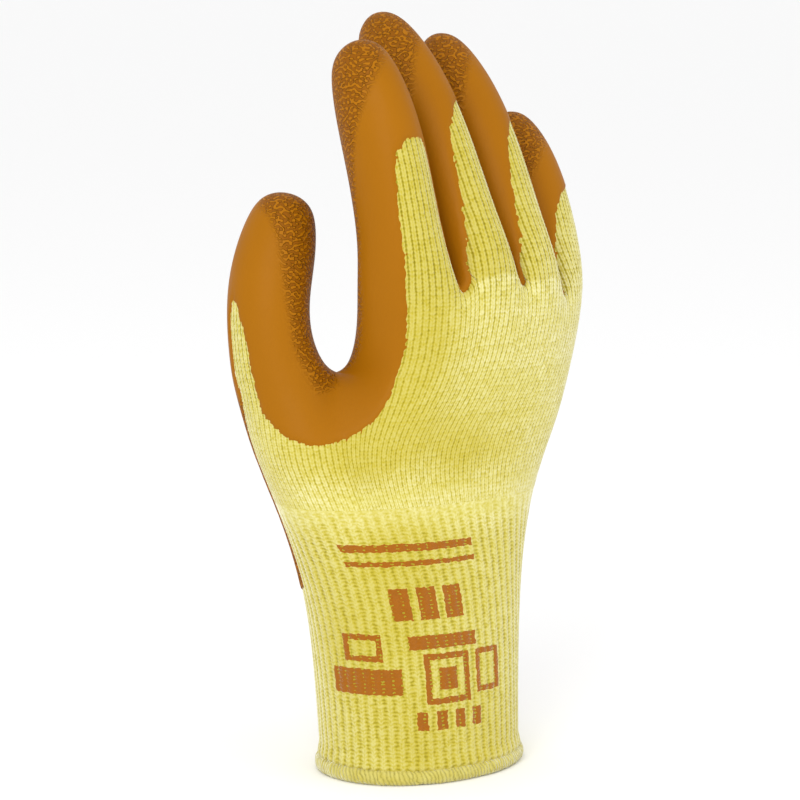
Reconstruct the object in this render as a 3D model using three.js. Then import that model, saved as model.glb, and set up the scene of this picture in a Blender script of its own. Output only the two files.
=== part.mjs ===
import * as THREE from 'three';

// A right-hand knit work glove with a latex coat, held in the shape of the hand that wears it.
// Millimetres. The origin is the middle of the wrist opening, +Z runs to the fingertips,
// the back of the hand faces -Y, the palm +Y and the thumb -X.

// Named sizes
const HEM_HEIGHT = 5;
const HEM_THICKNESS = 4;
const KNUCKLE_HEIGHT = 158; // wrist opening to the roots of the fingers
const PALM_BREADTH = 100;
const PALM_DEPTH = 36;
const FINGER_LENGTH = 91; // the middle finger's, the longest
const FINGER_WIDTH = 23;
const KNIT_WALL = 1.3;
const LATEX_WALL = 0.9;
const SKIN_GAP = 0.35; // between the knit and the latex on it
const JOINT_GAP = 0.4; // between two knit pieces that meet
const RIB_GROOVE = 0.6;
const PRINT_CLEAR = 59; // the latex on the palm side ends this far above the wrist opening

const row = (...names) => (...values) => Object.fromEntries(names.map((name, i) => [name, values[i]]));
const rad = THREE.MathUtils.degToRad;

// Cross-sections of cuff and hand: height as a share of KNUCKLE_HEIGHT, width, across and back of
// PALM_BREADTH, depth and bow of PALM_DEPTH. Turn is in degrees, square is the power of the oval,
// tilt lifts the little finger's side and lowers the thumb's.
const section = row('part', 'height', 'width', 'depth', 'across', 'back', 'turn', 'bow', 'square', 'tilt');
const WRIST = section('rib_cuff', (HEM_HEIGHT + JOINT_GAP) / KNUCKLE_HEIGHT, 0.695, 1.53, 0, 0, 0, 0, 2.1, 0);
const LOWER_SECTIONS = [
  WRIST,
  section('rib_cuff', 0.367, 0.735, 1.55, -0.022, 0.000, 0, 0, 2.1, 0),
  section('rib_cuff', 0.582, 0.930, 1.47, -0.058, 0.010, -9, 0, 2.2, 0),
  section('knit_palm', 0.690, 1.065, 1.44, -0.041, 0.010, -14, 0, 2.4, 0.02),
];
const FORK_SECTION = section('knit_palm', 0.810, 0.825, 1.09, 0.150, -0.094, 2, 0.13, 2.5, 0);
const KNUCKLE_SECTION = section('knit_palm', 1.000, 1.015, 0.99, 0.180, -0.143, 9.5, 0.26, 2.5, 0);

// Fingers: length as a share of FINGER_LENGTH, width and depth of FINGER_WIDTH, rise of the root over
// KNUCKLE_HEIGHT in millimetres. In degrees, splay leans the root to the little finger's side and lean
// to the palm; swing and curl are what the tip has turned further.
const finger = row('name', 'length', 'width', 'depth', 'rise', 'splay', 'swing', 'lean', 'curl', 'taper');
const FINGERS = [
  finger('knit_index', 0.865, 1.03, 1.25, 0, -4.6, -2, 0, 26, 0.93),
  finger('knit_middle', 1.000, 0.94, 1.18, 4.5, -2.4, -2, 10, 39, 0.93),
  finger('knit_ring', 0.960, 0.96, 1.10, 0.5, -1, 0, 11, 37, 0.92),
  finger('knit_little', 0.695, 0.94, 0.97, -6, 4, -2, 10, 36, 0.90),
];

// The thumb's middle line, from its root to its tip: across and back of PALM_BREADTH, height of KNUCKLE_HEIGHT.
const bend = row('across', 'back', 'height');
const THUMB = { name: 'knit_thumb', width: 1.12, depth: 1.17, taper: 0.945, root_width: 1.08, root_depth: 1.22 };
const THUMB_LINE = [
  bend(-0.428, 0.155, 0.791),
  bend(-0.475, 0.170, 0.879),
  bend(-0.469, 0.183, 0.975),
  bend(-0.410, 0.200, 1.077),
  bend(-0.366, 0.200, 1.178),
];

// Rings round a digit: at as a share of its length, size as a share of its width and depth.
const ring = row('at', 'size');
const DIGIT_RINGS = [ring(0.18, 1), ring(0.46, 1), ring(0.73, 0.98), ring(0.945, 0.7)];
const EIGHT_SIDED = 1.1; // an eight-sided ring this much larger rounds off to its true size
const SIDES = 8;

// Where the columns of stitches stand across the hand, as shares of half the section's width.
const FINGER_MIDDLES = [-0.71, -0.237, 0.237, 0.71];
const FINGER_CORNER = 0.18;
const THUMB_COLUMNS = [-0.93, -0.79, -0.62];
const PALM_COLUMNS = FINGER_MIDDLES.flatMap((middle) => [middle - FINGER_CORNER, middle, middle + FINGER_CORNER]);
const LOWER_COLUMNS = [...THUMB_COLUMNS, ...PALM_COLUMNS.map((share) => 0.215 + 0.78 * share)];
const CROTCH_DROP = 7;
const CROTCH_HALF = 2.2;
const COLUMN_WIDTH = 8; // across the hand, on average
const LIP_BARE = 1.5; // the lip of a crotch stays bare this far in from the back

// The bare knit left on each digit: top as a share of its length, then angles round the digit from the
// back of the hand, negative towards the thumb: both edges at the root, and the tip of the bare patch.
const bare = row('name', 'top', 'from', 'to', 'tip');
const BARE_DIGITS = [
  bare('knit_index', 0.60, -37, 62, -9),
  bare('knit_middle', 0.68, -55, 62, 20),
  bare('knit_ring', 0.67, -55, 62, 25),
  bare('knit_little', 0.60, -55, 95, 30),
  bare('knit_thumb', 0.50, -106, -62, -90),
];
// The bare back of the hand lies between two columns, and the latex comes round the thumb's crotch.
const bareBack = row('height', 'from', 'to');
const BARE_BACK = [bareBack(0, -1.4, 15.6), bareBack(0.69, -1.2, 15.6), bareBack(0.80, -1.02, 15.3)];
const BARE_UPPER = [bareBack(0.80, 0.18, 12.5), bareBack(1, 0.18, 12.1)];
const CROTCH_COAT = { across: -0.325, back: 0.03, height: 0.816, radius: 27.5 };

const points = [];
const quads = [];
const addPoint = (point) => points.push(point) - 1;

function onSection(shape, share, side, lift = 0) {
  const halfWidth = (shape.width * PALM_BREADTH) / 2;
  const halfDepth = (shape.depth * PALM_DEPTH) / 2;
  const oval = Math.max(0, 1 - Math.abs(share) ** shape.square) ** (1 / shape.square);
  const bowed = side * halfDepth * oval + shape.bow * PALM_DEPTH * share * share;
  const point = new THREE.Vector3(halfWidth * share, bowed, 0);
  point.applyAxisAngle(new THREE.Vector3(0, 0, 1), rad(shape.turn));
  point.x += shape.across * PALM_BREADTH;
  point.y += shape.back * PALM_BREADTH;
  point.z = (shape.height + shape.tilt * share) * KNUCKLE_HEIGHT + lift;
  return point;
}

// A ring round the hand: the columns of the back, the little finger's edge, the palm's, the thumb's edge.
function handRing(shape, columns, lift = () => 0) {
  const last = columns.length - 1;
  const back = columns.map((share, i) => onSection(shape, share, -1, lift(i)));
  const palm = columns.map((share, i) => onSection(shape, share, 1, lift(i))).reverse();
  const edges = [onSection(shape, 1, 1, lift(last)), onSection(shape, -1, 1, lift(0))];
  return [...back, edges[0], ...palm, edges[1]].map(addPoint);
}

function bridge(below, above, part) {
  const count = below.length;
  below.forEach((corner, i) => {
    const next = (i + 1) % count;
    quads.push({ corners: [corner, below[next], above[next], above[i]], part, column: i, count });
  });
}

function digitRing(centre, along, width, depth) {
  const aside = new THREE.Vector3(1, 0, 0);
  aside.addScaledVector(along, -aside.dot(along)).normalize();
  const back = new THREE.Vector3().crossVectors(aside, along);
  return Array.from({ length: SIDES }, (_, side) => {
    const angle = rad((side - 1) * 45);
    const point = centre.clone().addScaledVector(aside, (width / 2) * EIGHT_SIDED * Math.sin(angle));
    return addPoint(point.addScaledVector(back, (depth / 2) * EIGHT_SIDED * Math.cos(angle)));
  });
}

const digits = {};
function growDigit(root, line, shape) {
  const width = shape.width * FINGER_WIDTH;
  const depth = shape.depth * FINGER_WIDTH;
  let below = root;
  for (const { at, size } of DIGIT_RINGS) {
    const slim = size * (1 - (1 - shape.taper) * at);
    const above = digitRing(line.getPointAt(at), line.getTangentAt(at), width * slim, depth * slim);
    bridge(below, above, shape.name);
    below = above;
  }
  const tip = addPoint(line.getPointAt(1).addScaledVector(line.getTangentAt(1), 1));
  for (let side = 7; side < 15; side += 2) {
    const corners = [below[side % 8], below[(side + 1) % 8], below[(side + 2) % 8], tip];
    quads.push({ corners, part: shape.name });
  }
  digits[shape.name] = { line, length: line.getLength(), width };
}

// Cuff and lower hand, up to the fork of the thumb.
let lowRing = null;
for (const shape of LOWER_SECTIONS) {
  const next = handRing(shape, LOWER_COLUMNS);
  if (lowRing) bridge(lowRing, next, shape.part);
  lowRing = next;
}
const forkRing = handRing(FORK_SECTION, PALM_COLUMNS);
const knuckleRing = handRing(KNUCKLE_SECTION, PALM_COLUMNS, (i) => FINGERS[Math.floor(i / 3)].rise);
const thumbPoints = THUMB_LINE.map((knot) => new THREE.Vector3(
  knot.across * PALM_BREADTH,
  knot.back * PALM_BREADTH,
  knot.height * KNUCKLE_HEIGHT,
));
const thumbLine = new THREE.CatmullRomCurve3(thumbPoints);
const thumbRise = thumbLine.getTangentAt(0).add(new THREE.Vector3(0, 0, 1)).normalize();
const thumbRoot = digitRing(
  thumbPoints[0],
  thumbRise,
  THUMB.width * THUMB.root_width * FINGER_WIDTH,
  THUMB.depth * THUMB.root_depth * FINGER_WIDTH,
);
const thumbEdge = forkRing[25];
bridge(lowRing, [...thumbRoot.slice(0, 3), ...forkRing.slice(0, 25), ...thumbRoot.slice(4)], 'knit_palm');
quads.push({ corners: [thumbRoot[2], forkRing[0], thumbEdge, thumbRoot[3]], part: 'knit_palm' });
quads.push({ corners: [thumbRoot[3], thumbEdge, forkRing[24], thumbRoot[4]], part: 'knit_palm' });
bridge(forkRing, knuckleRing, 'knit_palm');

// Each finger's root takes three columns of the back and three of the palm; between two fingers
// the crotch is two strips lower down.
const roots = FINGERS.map((_, i) => {
  const back = knuckleRing.slice(3 * i, 3 * i + 3);
  const palm = knuckleRing.slice(22 - 3 * i, 25 - 3 * i);
  return [...back, null, ...palm, null];
});
roots[0][7] = knuckleRing[25];
roots[3][3] = knuckleRing[12];
for (let i = 0; i < 3; i++) {
  const [one, two] = [roots[i], roots[i + 1]];
  const middle = new THREE.Vector3();
  for (const corner of [one[2], two[0], one[4], two[6]]) middle.addScaledVector(points[corner], 0.25);
  middle.z -= CROTCH_DROP;
  const across = points[two[0]].clone().sub(points[one[2]]).normalize();
  one[3] = addPoint(middle.clone().addScaledVector(across, -CROTCH_HALF));
  two[7] = addPoint(middle.clone().addScaledVector(across, CROTCH_HALF));
  const lip = points[one[2]].clone().lerp(points[two[0]], 0.5);
  quads.push({ corners: [one[2], two[0], two[7], one[3]], part: 'knit_palm', lip });
  quads.push({ corners: [one[3], two[7], two[6], one[4]], part: 'knit_palm', lip });
}

function fingerLine(shape, start) {
  const steps = 16;
  const knots = [start.clone()];
  for (let i = 0; i < steps; i++) {
    const share = (i + 0.5) / steps;
    const lean = rad(shape.lean + shape.curl * share);
    const splay = rad(shape.splay + shape.swing * share);
    const along = new THREE.Vector3(Math.sin(splay) * Math.cos(lean), Math.sin(lean), Math.cos(splay) * Math.cos(lean));
    knots.push(knots[i].clone().addScaledVector(along, (shape.length * FINGER_LENGTH) / steps));
  }
  return new THREE.CatmullRomCurve3(knots);
}
FINGERS.forEach((shape, i) => {
  const start = new THREE.Vector3();
  for (const side of [0, 1, 2, 4, 5, 6]) start.addScaledVector(points[roots[i][side]], 1 / 6);
  growDigit(roots[i], fingerLine(shape, start), shape);
});
growDigit(thumbRoot, thumbLine, THUMB);

// One round of Catmull-Clark smoothing. Each face becomes four, and each keeps the columns its corners stand on.
const QUARTER_COLUMNS = [[0, 0.5, 0.5, 0], [1, 1, 0.5, 0.5], [1, 0.5, 0.5, 1], [0, 0, 0.5, 0.5]];
function smooth(oldPoints, oldQuads) {
  const edges = new Map();
  const around = oldPoints.map(() => ({ faces: [], middles: [], border: [] }));
  const facePoints = oldQuads.map(({ corners }) => {
    const middle = new THREE.Vector3();
    for (const corner of corners) middle.addScaledVector(oldPoints[corner], 0.25);
    return middle;
  });
  const edgeName = (a, b) => `${Math.min(a, b)} ${Math.max(a, b)}`;
  oldQuads.forEach(({ corners }, face) => corners.forEach((a, i) => {
    const b = corners[(i + 1) % 4];
    const name = edgeName(a, b);
    if (!edges.has(name)) edges.set(name, { ends: [a, b], faces: [] });
    edges.get(name).faces.push(face);
    around[a].faces.push(facePoints[face]);
  }));
  const edgePoints = [];
  for (const edge of edges.values()) {
    const middle = oldPoints[edge.ends[0]].clone().add(oldPoints[edge.ends[1]]).multiplyScalar(0.5);
    const isBorder = edge.faces.length === 1;
    for (const end of edge.ends) {
      around[end].middles.push(middle);
      if (isBorder) around[end].border.push(middle);
    }
    const point = middle.clone();
    if (!isBorder) {
      point.multiplyScalar(0.5);
      for (const face of edge.faces) point.addScaledVector(facePoints[face], 0.25);
    }
    edge.index = oldPoints.length + edgePoints.length;
    edgePoints.push(point);
  }
  const corners = oldPoints.map((point, i) => {
    const { faces, middles, border } = around[i];
    const moved = new THREE.Vector3();
    if (border.length) {
      moved.addScaledVector(point, 0.5);
      for (const middle of border) moved.addScaledVector(middle, 0.25);
      return moved;
    }
    const n = faces.length;
    moved.addScaledVector(point, (n - 3) / n);
    for (const face of faces) moved.addScaledVector(face, 1 / (n * n));
    for (const middle of middles) moved.addScaledVector(middle, 2 / (n * n));
    return moved;
  });
  const newPoints = [...corners, ...edgePoints, ...facePoints];
  const newQuads = [];
  oldQuads.forEach((quad, face) => {
    const sides = quad.corners.map((a, i) => edges.get(edgeName(a, quad.corners[(i + 1) % 4])).index);
    const middle = oldPoints.length + edgePoints.length + face;
    quad.corners.forEach((a, i) => {
      const columns = QUARTER_COLUMNS[i].map((share) => quad.column + share);
      newQuads.push({ ...quad, corners: [a, sides[i], middle, sides[(i + 3) % 4]], columns });
    });
  });
  return [newPoints, newQuads];
}
const [surface, faces] = smooth(points, quads);

const normals = surface.map(() => new THREE.Vector3());
for (const { corners } of faces) {
  const [a, b, c, d] = corners.map((corner) => surface[corner]);
  const facing = c.clone().sub(a).cross(d.clone().sub(b));
  for (const corner of corners) normals[corner].add(facing);
}
for (const normal of normals) normal.normalize();

// A closed shell between two surfaces over the same triangles: where is a list of
// [outer point, inner point], triangles index it.
function shell(where, triangles) {
  const out = [];
  const put = (...list) => {
    for (const point of list) out.push(point.x, point.y, point.z);
  };
  const rims = new Map();
  for (const triangle of triangles) {
    const [a, b, c] = triangle.map((i) => where[i]);
    put(a[0], b[0], c[0]);
    put(a[1], c[1], b[1]);
    triangle.forEach((i, k) => {
      const j = triangle[(k + 1) % 3];
      if (!rims.delete(`${j} ${i}`)) rims.set(`${i} ${j}`, [i, j]);
    });
  }
  for (const [i, j] of rims.values()) {
    put(where[i][0], where[i][1], where[j][1]);
    put(where[i][0], where[j][1], where[j][0]);
  }
  const geometry = new THREE.BufferGeometry();
  geometry.setAttribute('position', new THREE.Float32BufferAttribute(out, 3));
  geometry.computeVertexNormals();
  return geometry;
}

const knitPaint = new THREE.MeshStandardMaterial({ color: 0xe6dc72, roughness: 0.9 });
const latexPaint = new THREE.MeshStandardMaterial({ color: 0xc07a10, roughness: 0.6 });
const group = new THREE.Group();
function addPart(name, geometry, paint) {
  const mesh = new THREE.Mesh(geometry, paint);
  mesh.name = name;
  group.add(mesh);
}
const halves = ([a, b, c, d]) => [[a, b, c], [a, c, d]];

// At a corner where the palm meets another piece, the direction along the surface into that piece.
function intoPiece(corner, own, edge) {
  const inward = new THREE.Vector3();
  const alongEdge = new Set();
  for (const { corners } of own) {
    if (!corners.includes(corner)) continue;
    const i = corners.indexOf(corner);
    inward.add(surface[corners[(i + 2) % 4]]).sub(surface[corner]);
    for (const next of [corners[(i + 1) % 4], corners[(i + 3) % 4]]) {
      if (edge.has(next)) alongEdge.add(next);
    }
  }
  const [one, two] = alongEdge;
  const along = surface[two].clone().sub(surface[one]);
  const away = along.cross(normals[corner]).normalize();
  return away.multiplyScalar(Math.sign(away.dot(inward)));
}
const partFaces = (name) => faces.filter((face) => face.part === name);
const partCorners = (name) => new Set(partFaces(name).flatMap((face) => face.corners));
const palmCorners = partCorners('knit_palm');
const edgeShift = new Map();
for (const name of ['rib_cuff', 'knit_thumb', ...FINGERS.map((shape) => shape.name)]) {
  const edge = new Set([...partCorners(name)].filter((corner) => palmCorners.has(corner)));
  for (const corner of edge) {
    edgeShift.set(corner, intoPiece(corner, partFaces(name), edge).multiplyScalar(JOINT_GAP / 2));
  }
}
// A knit piece's own corner: drawn back from the line it shares with the next piece.
function drawnBack(name, corner) {
  const point = surface[corner].clone();
  if (edgeShift.has(corner)) point.addScaledVector(edgeShift.get(corner), name === 'knit_palm' ? -1 : 1);
  return point;
}
function knitPiece(name) {
  const where = [];
  for (const corner of partCorners(name)) {
    const outer = drawnBack(name, corner);
    where[corner] = [outer, outer.clone().addScaledVector(normals[corner], -KNIT_WALL)];
  }
  addPart(name, shell(where, partFaces(name).flatMap((face) => halves(face.corners))), knitPaint);
}
knitPiece('knit_palm');
for (const { name } of FINGERS) knitPiece(name);
knitPiece('knit_thumb');

// The rib cuff: the smooth surface with a crest on every line of points and a groove between two.
function ribCuff() {
  const where = [];
  const groove = new Map();
  const wall = (point, normal, depth) => [
    point.clone().addScaledVector(normal, -depth),
    point.clone().addScaledVector(normal, -KNIT_WALL),
  ];
  const crest = (corner) => {
    where[corner] ??= wall(drawnBack('rib_cuff', corner), normals[corner], 0);
    return corner;
  };
  const between = (a, b) => {
    const name = `${Math.min(a, b)} ${Math.max(a, b)}`;
    if (!groove.has(name)) {
      const normal = normals[a].clone().add(normals[b]).normalize();
      const point = drawnBack('rib_cuff', a).add(drawnBack('rib_cuff', b)).multiplyScalar(0.5);
      groove.set(name, surface.length + groove.size);
      where[groove.get(name)] = wall(point, normal, RIB_GROOVE);
    }
    return groove.get(name);
  };
  const triangles = [];
  for (const { corners } of partFaces('rib_cuff')) {
    const round = [0, 1, 2, 3].find((i) => {
      const rise = Math.abs(surface[corners[i]].z - surface[corners[(i + 1) % 4]].z);
      return rise < Math.abs(surface[corners[(i + 1) % 4]].z - surface[corners[(i + 2) % 4]].z);
    });
    const [a, b, c, d] = [0, 1, 2, 3].map((i) => corners[(round + i) % 4]);
    const [low, high] = [between(a, b), between(c, d)];
    for (const ring4 of [[crest(a), low, high, crest(d)], [low, crest(b), crest(c), high]]) {
      triangles.push(...halves(ring4));
    }
  }
  addPart('rib_cuff', shell(where, triangles), knitPaint);
}
ribCuff();

// The overlocked hem: a rounded cord of thread round the wrist opening.
function hem() {
  const HEM_SIDES = 48;
  const CORD_SIDES = 6;
  const where = [];
  const ringPoints = [];
  const middleZ = HEM_HEIGHT / 2;
  const wristSide = (angle) => {
    const share = Math.sign(Math.cos(angle)) * Math.abs(Math.cos(angle)) ** (2 / WRIST.square);
    return onSection(WRIST, share, Math.sin(angle) < 0 ? -1 : 1);
  };
  for (let i = 0; i < HEM_SIDES; i++) {
    const angle = (2 * Math.PI * i) / HEM_SIDES;
    const at = wristSide(angle);
    const along = wristSide(angle + 0.02).sub(wristSide(angle - 0.02)).normalize();
    const out = new THREE.Vector3(along.y, -along.x, 0);
    const middle = at.addScaledVector(out, 1 - HEM_THICKNESS / 2).setZ(middleZ);
    ringPoints.push(Array.from({ length: CORD_SIDES }, (_, k) => {
      const turn = (2 * Math.PI * k) / CORD_SIDES;
      const point = middle.clone().addScaledVector(out, (HEM_THICKNESS / 2) * Math.cos(turn));
      point.z += ((HEM_HEIGHT / 2) * Math.sin(turn)) / Math.sin(Math.PI / 3);
      return where.push(point) - 1;
    }));
  }
  const out = [];
  ringPoints.forEach((one, i) => {
    const two = ringPoints[(i + 1) % HEM_SIDES];
    one.forEach((a, k) => {
      const next = (k + 1) % CORD_SIDES;
      for (const [p, q, r] of halves([a, two[k], two[next], one[next]])) {
        for (const corner of [p, q, r]) out.push(where[corner].x, where[corner].y, where[corner].z);
      }
    });
  });
  const geometry = new THREE.BufferGeometry();
  geometry.setAttribute('position', new THREE.Float32BufferAttribute(out, 3));
  geometry.computeVertexNormals();
  addPart('cuff_hem', geometry, knitPaint);
}
hem();

// How far a point of a digit lies outside the bare patch on its back, in millimetres.
function outsideBareDigit(shape, point) {
  const { line, length, width } = digits[shape.name];
  let at = 0;
  let nearest = Infinity;
  for (let i = 0; i <= 100; i++) {
    const distance = line.getPointAt(i / 100).distanceTo(point);
    if (distance < nearest) [nearest, at] = [distance, i / 100];
  }
  const along = line.getTangentAt(at);
  const aside = new THREE.Vector3(1, 0, 0);
  aside.addScaledVector(along, -aside.dot(along)).normalize();
  const back = new THREE.Vector3().crossVectors(aside, along);
  const from = point.clone().sub(line.getPointAt(at));
  const angle = THREE.MathUtils.radToDeg(Math.atan2(from.dot(aside), from.dot(back)));
  const share = Math.min(1, at / shape.top);
  const half = ((shape.to - shape.from) / 2) * (1 - share ** 1.3) ** 0.57;
  const middle = THREE.MathUtils.lerp((shape.to + shape.from) / 2, shape.tip, share);
  const off = Math.abs(((angle - middle + 540) % 360) - 180);
  return (rad(off - half) * width) / 2 + Math.max(0, at - shape.top) * length;
}

// The same for a point of the hand or cuff that stands on a column of a ring of so many columns.
function outsideBareBack(table, height, column, count) {
  const next = Math.max(1, table.findIndex((entry, i) => i > 0 && (entry.height >= height || i === table.length - 1)));
  const [low, high] = [table[next - 1], table[next]];
  const share = THREE.MathUtils.clamp((height - low.height) / (high.height - low.height), 0, 1);
  const from = THREE.MathUtils.lerp(low.from, high.from, share);
  const to = THREE.MathUtils.lerp(low.to, high.to, share);
  const off = Math.abs(((column - (from + to) / 2 + 1.5 * count) % count) - count / 2);
  return (off - (to - from) / 2) * COLUMN_WIDTH;
}

// How far every point lies inside the latex's edge, in millimetres, below nought where the knit is bare.
function coatDepths() {
  const depth = [];
  for (const shape of BARE_DIGITS) {
    for (const corner of partCorners(shape.name)) depth[corner] = outsideBareDigit(shape, surface[corner]);
  }
  const crotch = new THREE.Vector3(
    CROTCH_COAT.across * PALM_BREADTH,
    CROTCH_COAT.back * PALM_BREADTH,
    CROTCH_COAT.height * KNUCKLE_HEIGHT,
  );
  const handRows = [[26, BARE_UPPER], [32, BARE_BACK]];
  for (const [count, table] of handRows) {
    for (const face of faces) {
      if (face.count !== count) continue;
      face.corners.forEach((corner, i) => {
        const point = surface[corner];
        const onBack = outsideBareBack(table, point.z / KNUCKLE_HEIGHT, face.columns[i], count);
        const byCrotch = CROTCH_COAT.radius - crotch.distanceTo(point);
        depth[corner] ??= Math.min(Math.max(onBack, byCrotch), point.z - PRINT_CLEAR);
      });
    }
  }
  for (const face of faces) {
    for (const corner of face.corners) {
      const point = surface[corner];
      const lip = face.lip ? point.y - face.lip.y - LIP_BARE : CROTCH_COAT.radius - crotch.distanceTo(point);
      depth[corner] ??= lip;
    }
  }
  return depth;
}

// The latex: the smooth surface where it is coated, cut along the coat's edge, as a skin over the knit.
function latexCoating() {
  const depth = coatDepths();
  const where = [];
  const skin = (point, normal) => [
    point.clone().addScaledVector(normal, SKIN_GAP + LATEX_WALL),
    point.clone().addScaledVector(normal, SKIN_GAP),
  ];
  const cuts = new Map();
  const cut = (a, b) => {
    const name = `${Math.min(a, b)} ${Math.max(a, b)}`;
    if (!cuts.has(name)) {
      const share = THREE.MathUtils.clamp(depth[a] / (depth[a] - depth[b]), 0.15, 0.85);
      const point = surface[a].clone().lerp(surface[b], share);
      const normal = normals[a].clone().lerp(normals[b], share).normalize();
      cuts.set(name, surface.length + cuts.size);
      where[cuts.get(name)] = skin(point, normal);
    }
    return cuts.get(name);
  };
  const triangles = [];
  for (const face of faces) {
    for (const triangle of halves(face.corners)) {
      const kept = [];
      triangle.forEach((a, i) => {
        const b = triangle[(i + 1) % 3];
        if (depth[a] > 0) kept.push(a);
        if (depth[a] > 0 !== depth[b] > 0) kept.push(cut(a, b));
      });
      for (const corner of kept) where[corner] ??= skin(surface[corner], normals[corner]);
      for (let i = 2; i < kept.length; i++) triangles.push([kept[0], kept[i - 1], kept[i]]);
    }
  }
  addPart('latex_coating', shell(where, triangles), latexPaint);
}
latexCoating();

export default group;
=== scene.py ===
"""A right-hand knit work glove with a latex coat, held in the shape of the hand that wears it.

The glove's smooth form is a coarse net of four-cornered faces that a Subdivision Surface rounds off.
Each piece then lays its own rows of stitches, ribs or latex over that form. Lengths are in metres,
the origin is the middle of the wrist opening, +Z runs to the fingertips, the back of the hand faces
-Y, the palm +Y and the thumb -X.
"""

import math
from collections import namedtuple

import bpy
import numpy as np
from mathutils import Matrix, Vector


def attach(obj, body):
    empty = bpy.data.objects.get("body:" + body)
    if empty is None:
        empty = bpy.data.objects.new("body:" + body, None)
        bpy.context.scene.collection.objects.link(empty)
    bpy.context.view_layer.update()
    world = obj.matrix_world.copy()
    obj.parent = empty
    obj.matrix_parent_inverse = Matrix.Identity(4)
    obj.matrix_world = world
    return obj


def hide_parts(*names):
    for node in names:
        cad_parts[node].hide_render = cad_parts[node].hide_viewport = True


bl_info = {
    "name": "Latex coated knit glove",
    "version": (1, 0, 0),
    "blender": (4, 5, 0),
    "location": "View3D > Sidebar > Glove",
    "description": "Dresses the glove's frame in knit, ribbed cuff, hem and latex",
    "category": "Object",
}

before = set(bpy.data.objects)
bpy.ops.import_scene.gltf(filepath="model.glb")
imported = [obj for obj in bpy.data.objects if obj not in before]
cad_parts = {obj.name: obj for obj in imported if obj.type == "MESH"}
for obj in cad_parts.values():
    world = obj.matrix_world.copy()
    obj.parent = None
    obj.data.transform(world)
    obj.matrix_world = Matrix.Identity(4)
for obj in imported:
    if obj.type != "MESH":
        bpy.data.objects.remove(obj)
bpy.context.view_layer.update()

# Cross-sections of cuff and hand. Height is a share of the knuckle height, width, across and back of
# the palm's breadth, depth and bow of its depth. Turn is in degrees, square is the power of the oval,
# tilt lifts the little finger's side.
Section = namedtuple("Section", "height width depth across back turn bow square tilt")
CUFF_SECTIONS = [
    Section(0.034177, 0.695, 1.53, 0, 0, 0, 0, 2.1, 0),
    Section(0.367, 0.735, 1.55, -0.022, 0.000, 0, 0, 2.1, 0),
    Section(0.582, 0.930, 1.47, -0.058, 0.010, -9, 0, 2.2, 0),
]
HEEL_SECTION = Section(0.690, 1.065, 1.44, -0.041, 0.010, -14, 0, 2.4, 0.02)
FORK_SECTION = Section(0.810, 0.825, 1.09, 0.150, -0.094, 2, 0.13, 2.5, 0)
KNUCKLE_SECTION = Section(1.000, 1.015, 0.99, 0.180, -0.143, 9.5, 0.26, 2.5, 0)

# Fingers: length, width and depth are shares of the finger sizes, rise is over the knuckle height.
# Splay leans the root to the little finger's side and lean to the palm; swing and curl are what the
# tip has turned further, all in degrees.
Finger = namedtuple("Finger", "name length width depth rise splay swing lean curl taper")
FINGERS = [
    Finger("index", 0.865, 1.03, 1.25, 0.0000, -4.6, -2, 0, 26, 0.93),
    Finger("middle", 1.000, 0.94, 1.18, 0.0045, -2.4, -2, 10, 39, 0.93),
    Finger("ring", 0.960, 0.96, 1.10, 0.0005, -1, 0, 11, 37, 0.92),
    Finger("little", 0.695, 0.94, 0.97, -0.0060, 4, -2, 10, 36, 0.90),
]
Thumb = namedtuple("Thumb", "name width depth taper root_width root_depth")
THUMB = Thumb("thumb", 1.12, 1.17, 0.945, 1.08, 1.22)
Bend = namedtuple("Bend", "across back height")
THUMB_LINE = [
    Bend(-0.428, 0.155, 0.791),
    Bend(-0.475, 0.170, 0.879),
    Bend(-0.469, 0.183, 0.975),
    Bend(-0.410, 0.200, 1.077),
    Bend(-0.366, 0.200, 1.178),
]
Ring = namedtuple("Ring", "at size")
DIGIT_RINGS = [Ring(0.18, 1), Ring(0.46, 1), Ring(0.73, 0.98), Ring(0.945, 0.7)]
EIGHT_SIDED = 1.1
FINGER_MIDDLES = [-0.71, -0.237, 0.237, 0.71]
FINGER_CORNER = 0.18
THUMB_COLUMNS = [-0.93, -0.79, -0.62]
PALM_COLUMNS = [middle + side for middle in FINGER_MIDDLES for side in (-FINGER_CORNER, 0, FINGER_CORNER)]
LOWER_COLUMNS = THUMB_COLUMNS + [0.215 + 0.78 * share for share in PALM_COLUMNS]
UPPER_COUNT = 2 * len(PALM_COLUMNS) + 2
LOWER_COUNT = 2 * len(LOWER_COLUMNS) + 2
CROTCH_DROP = 0.007
CROTCH_HALF = 0.0022

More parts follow.
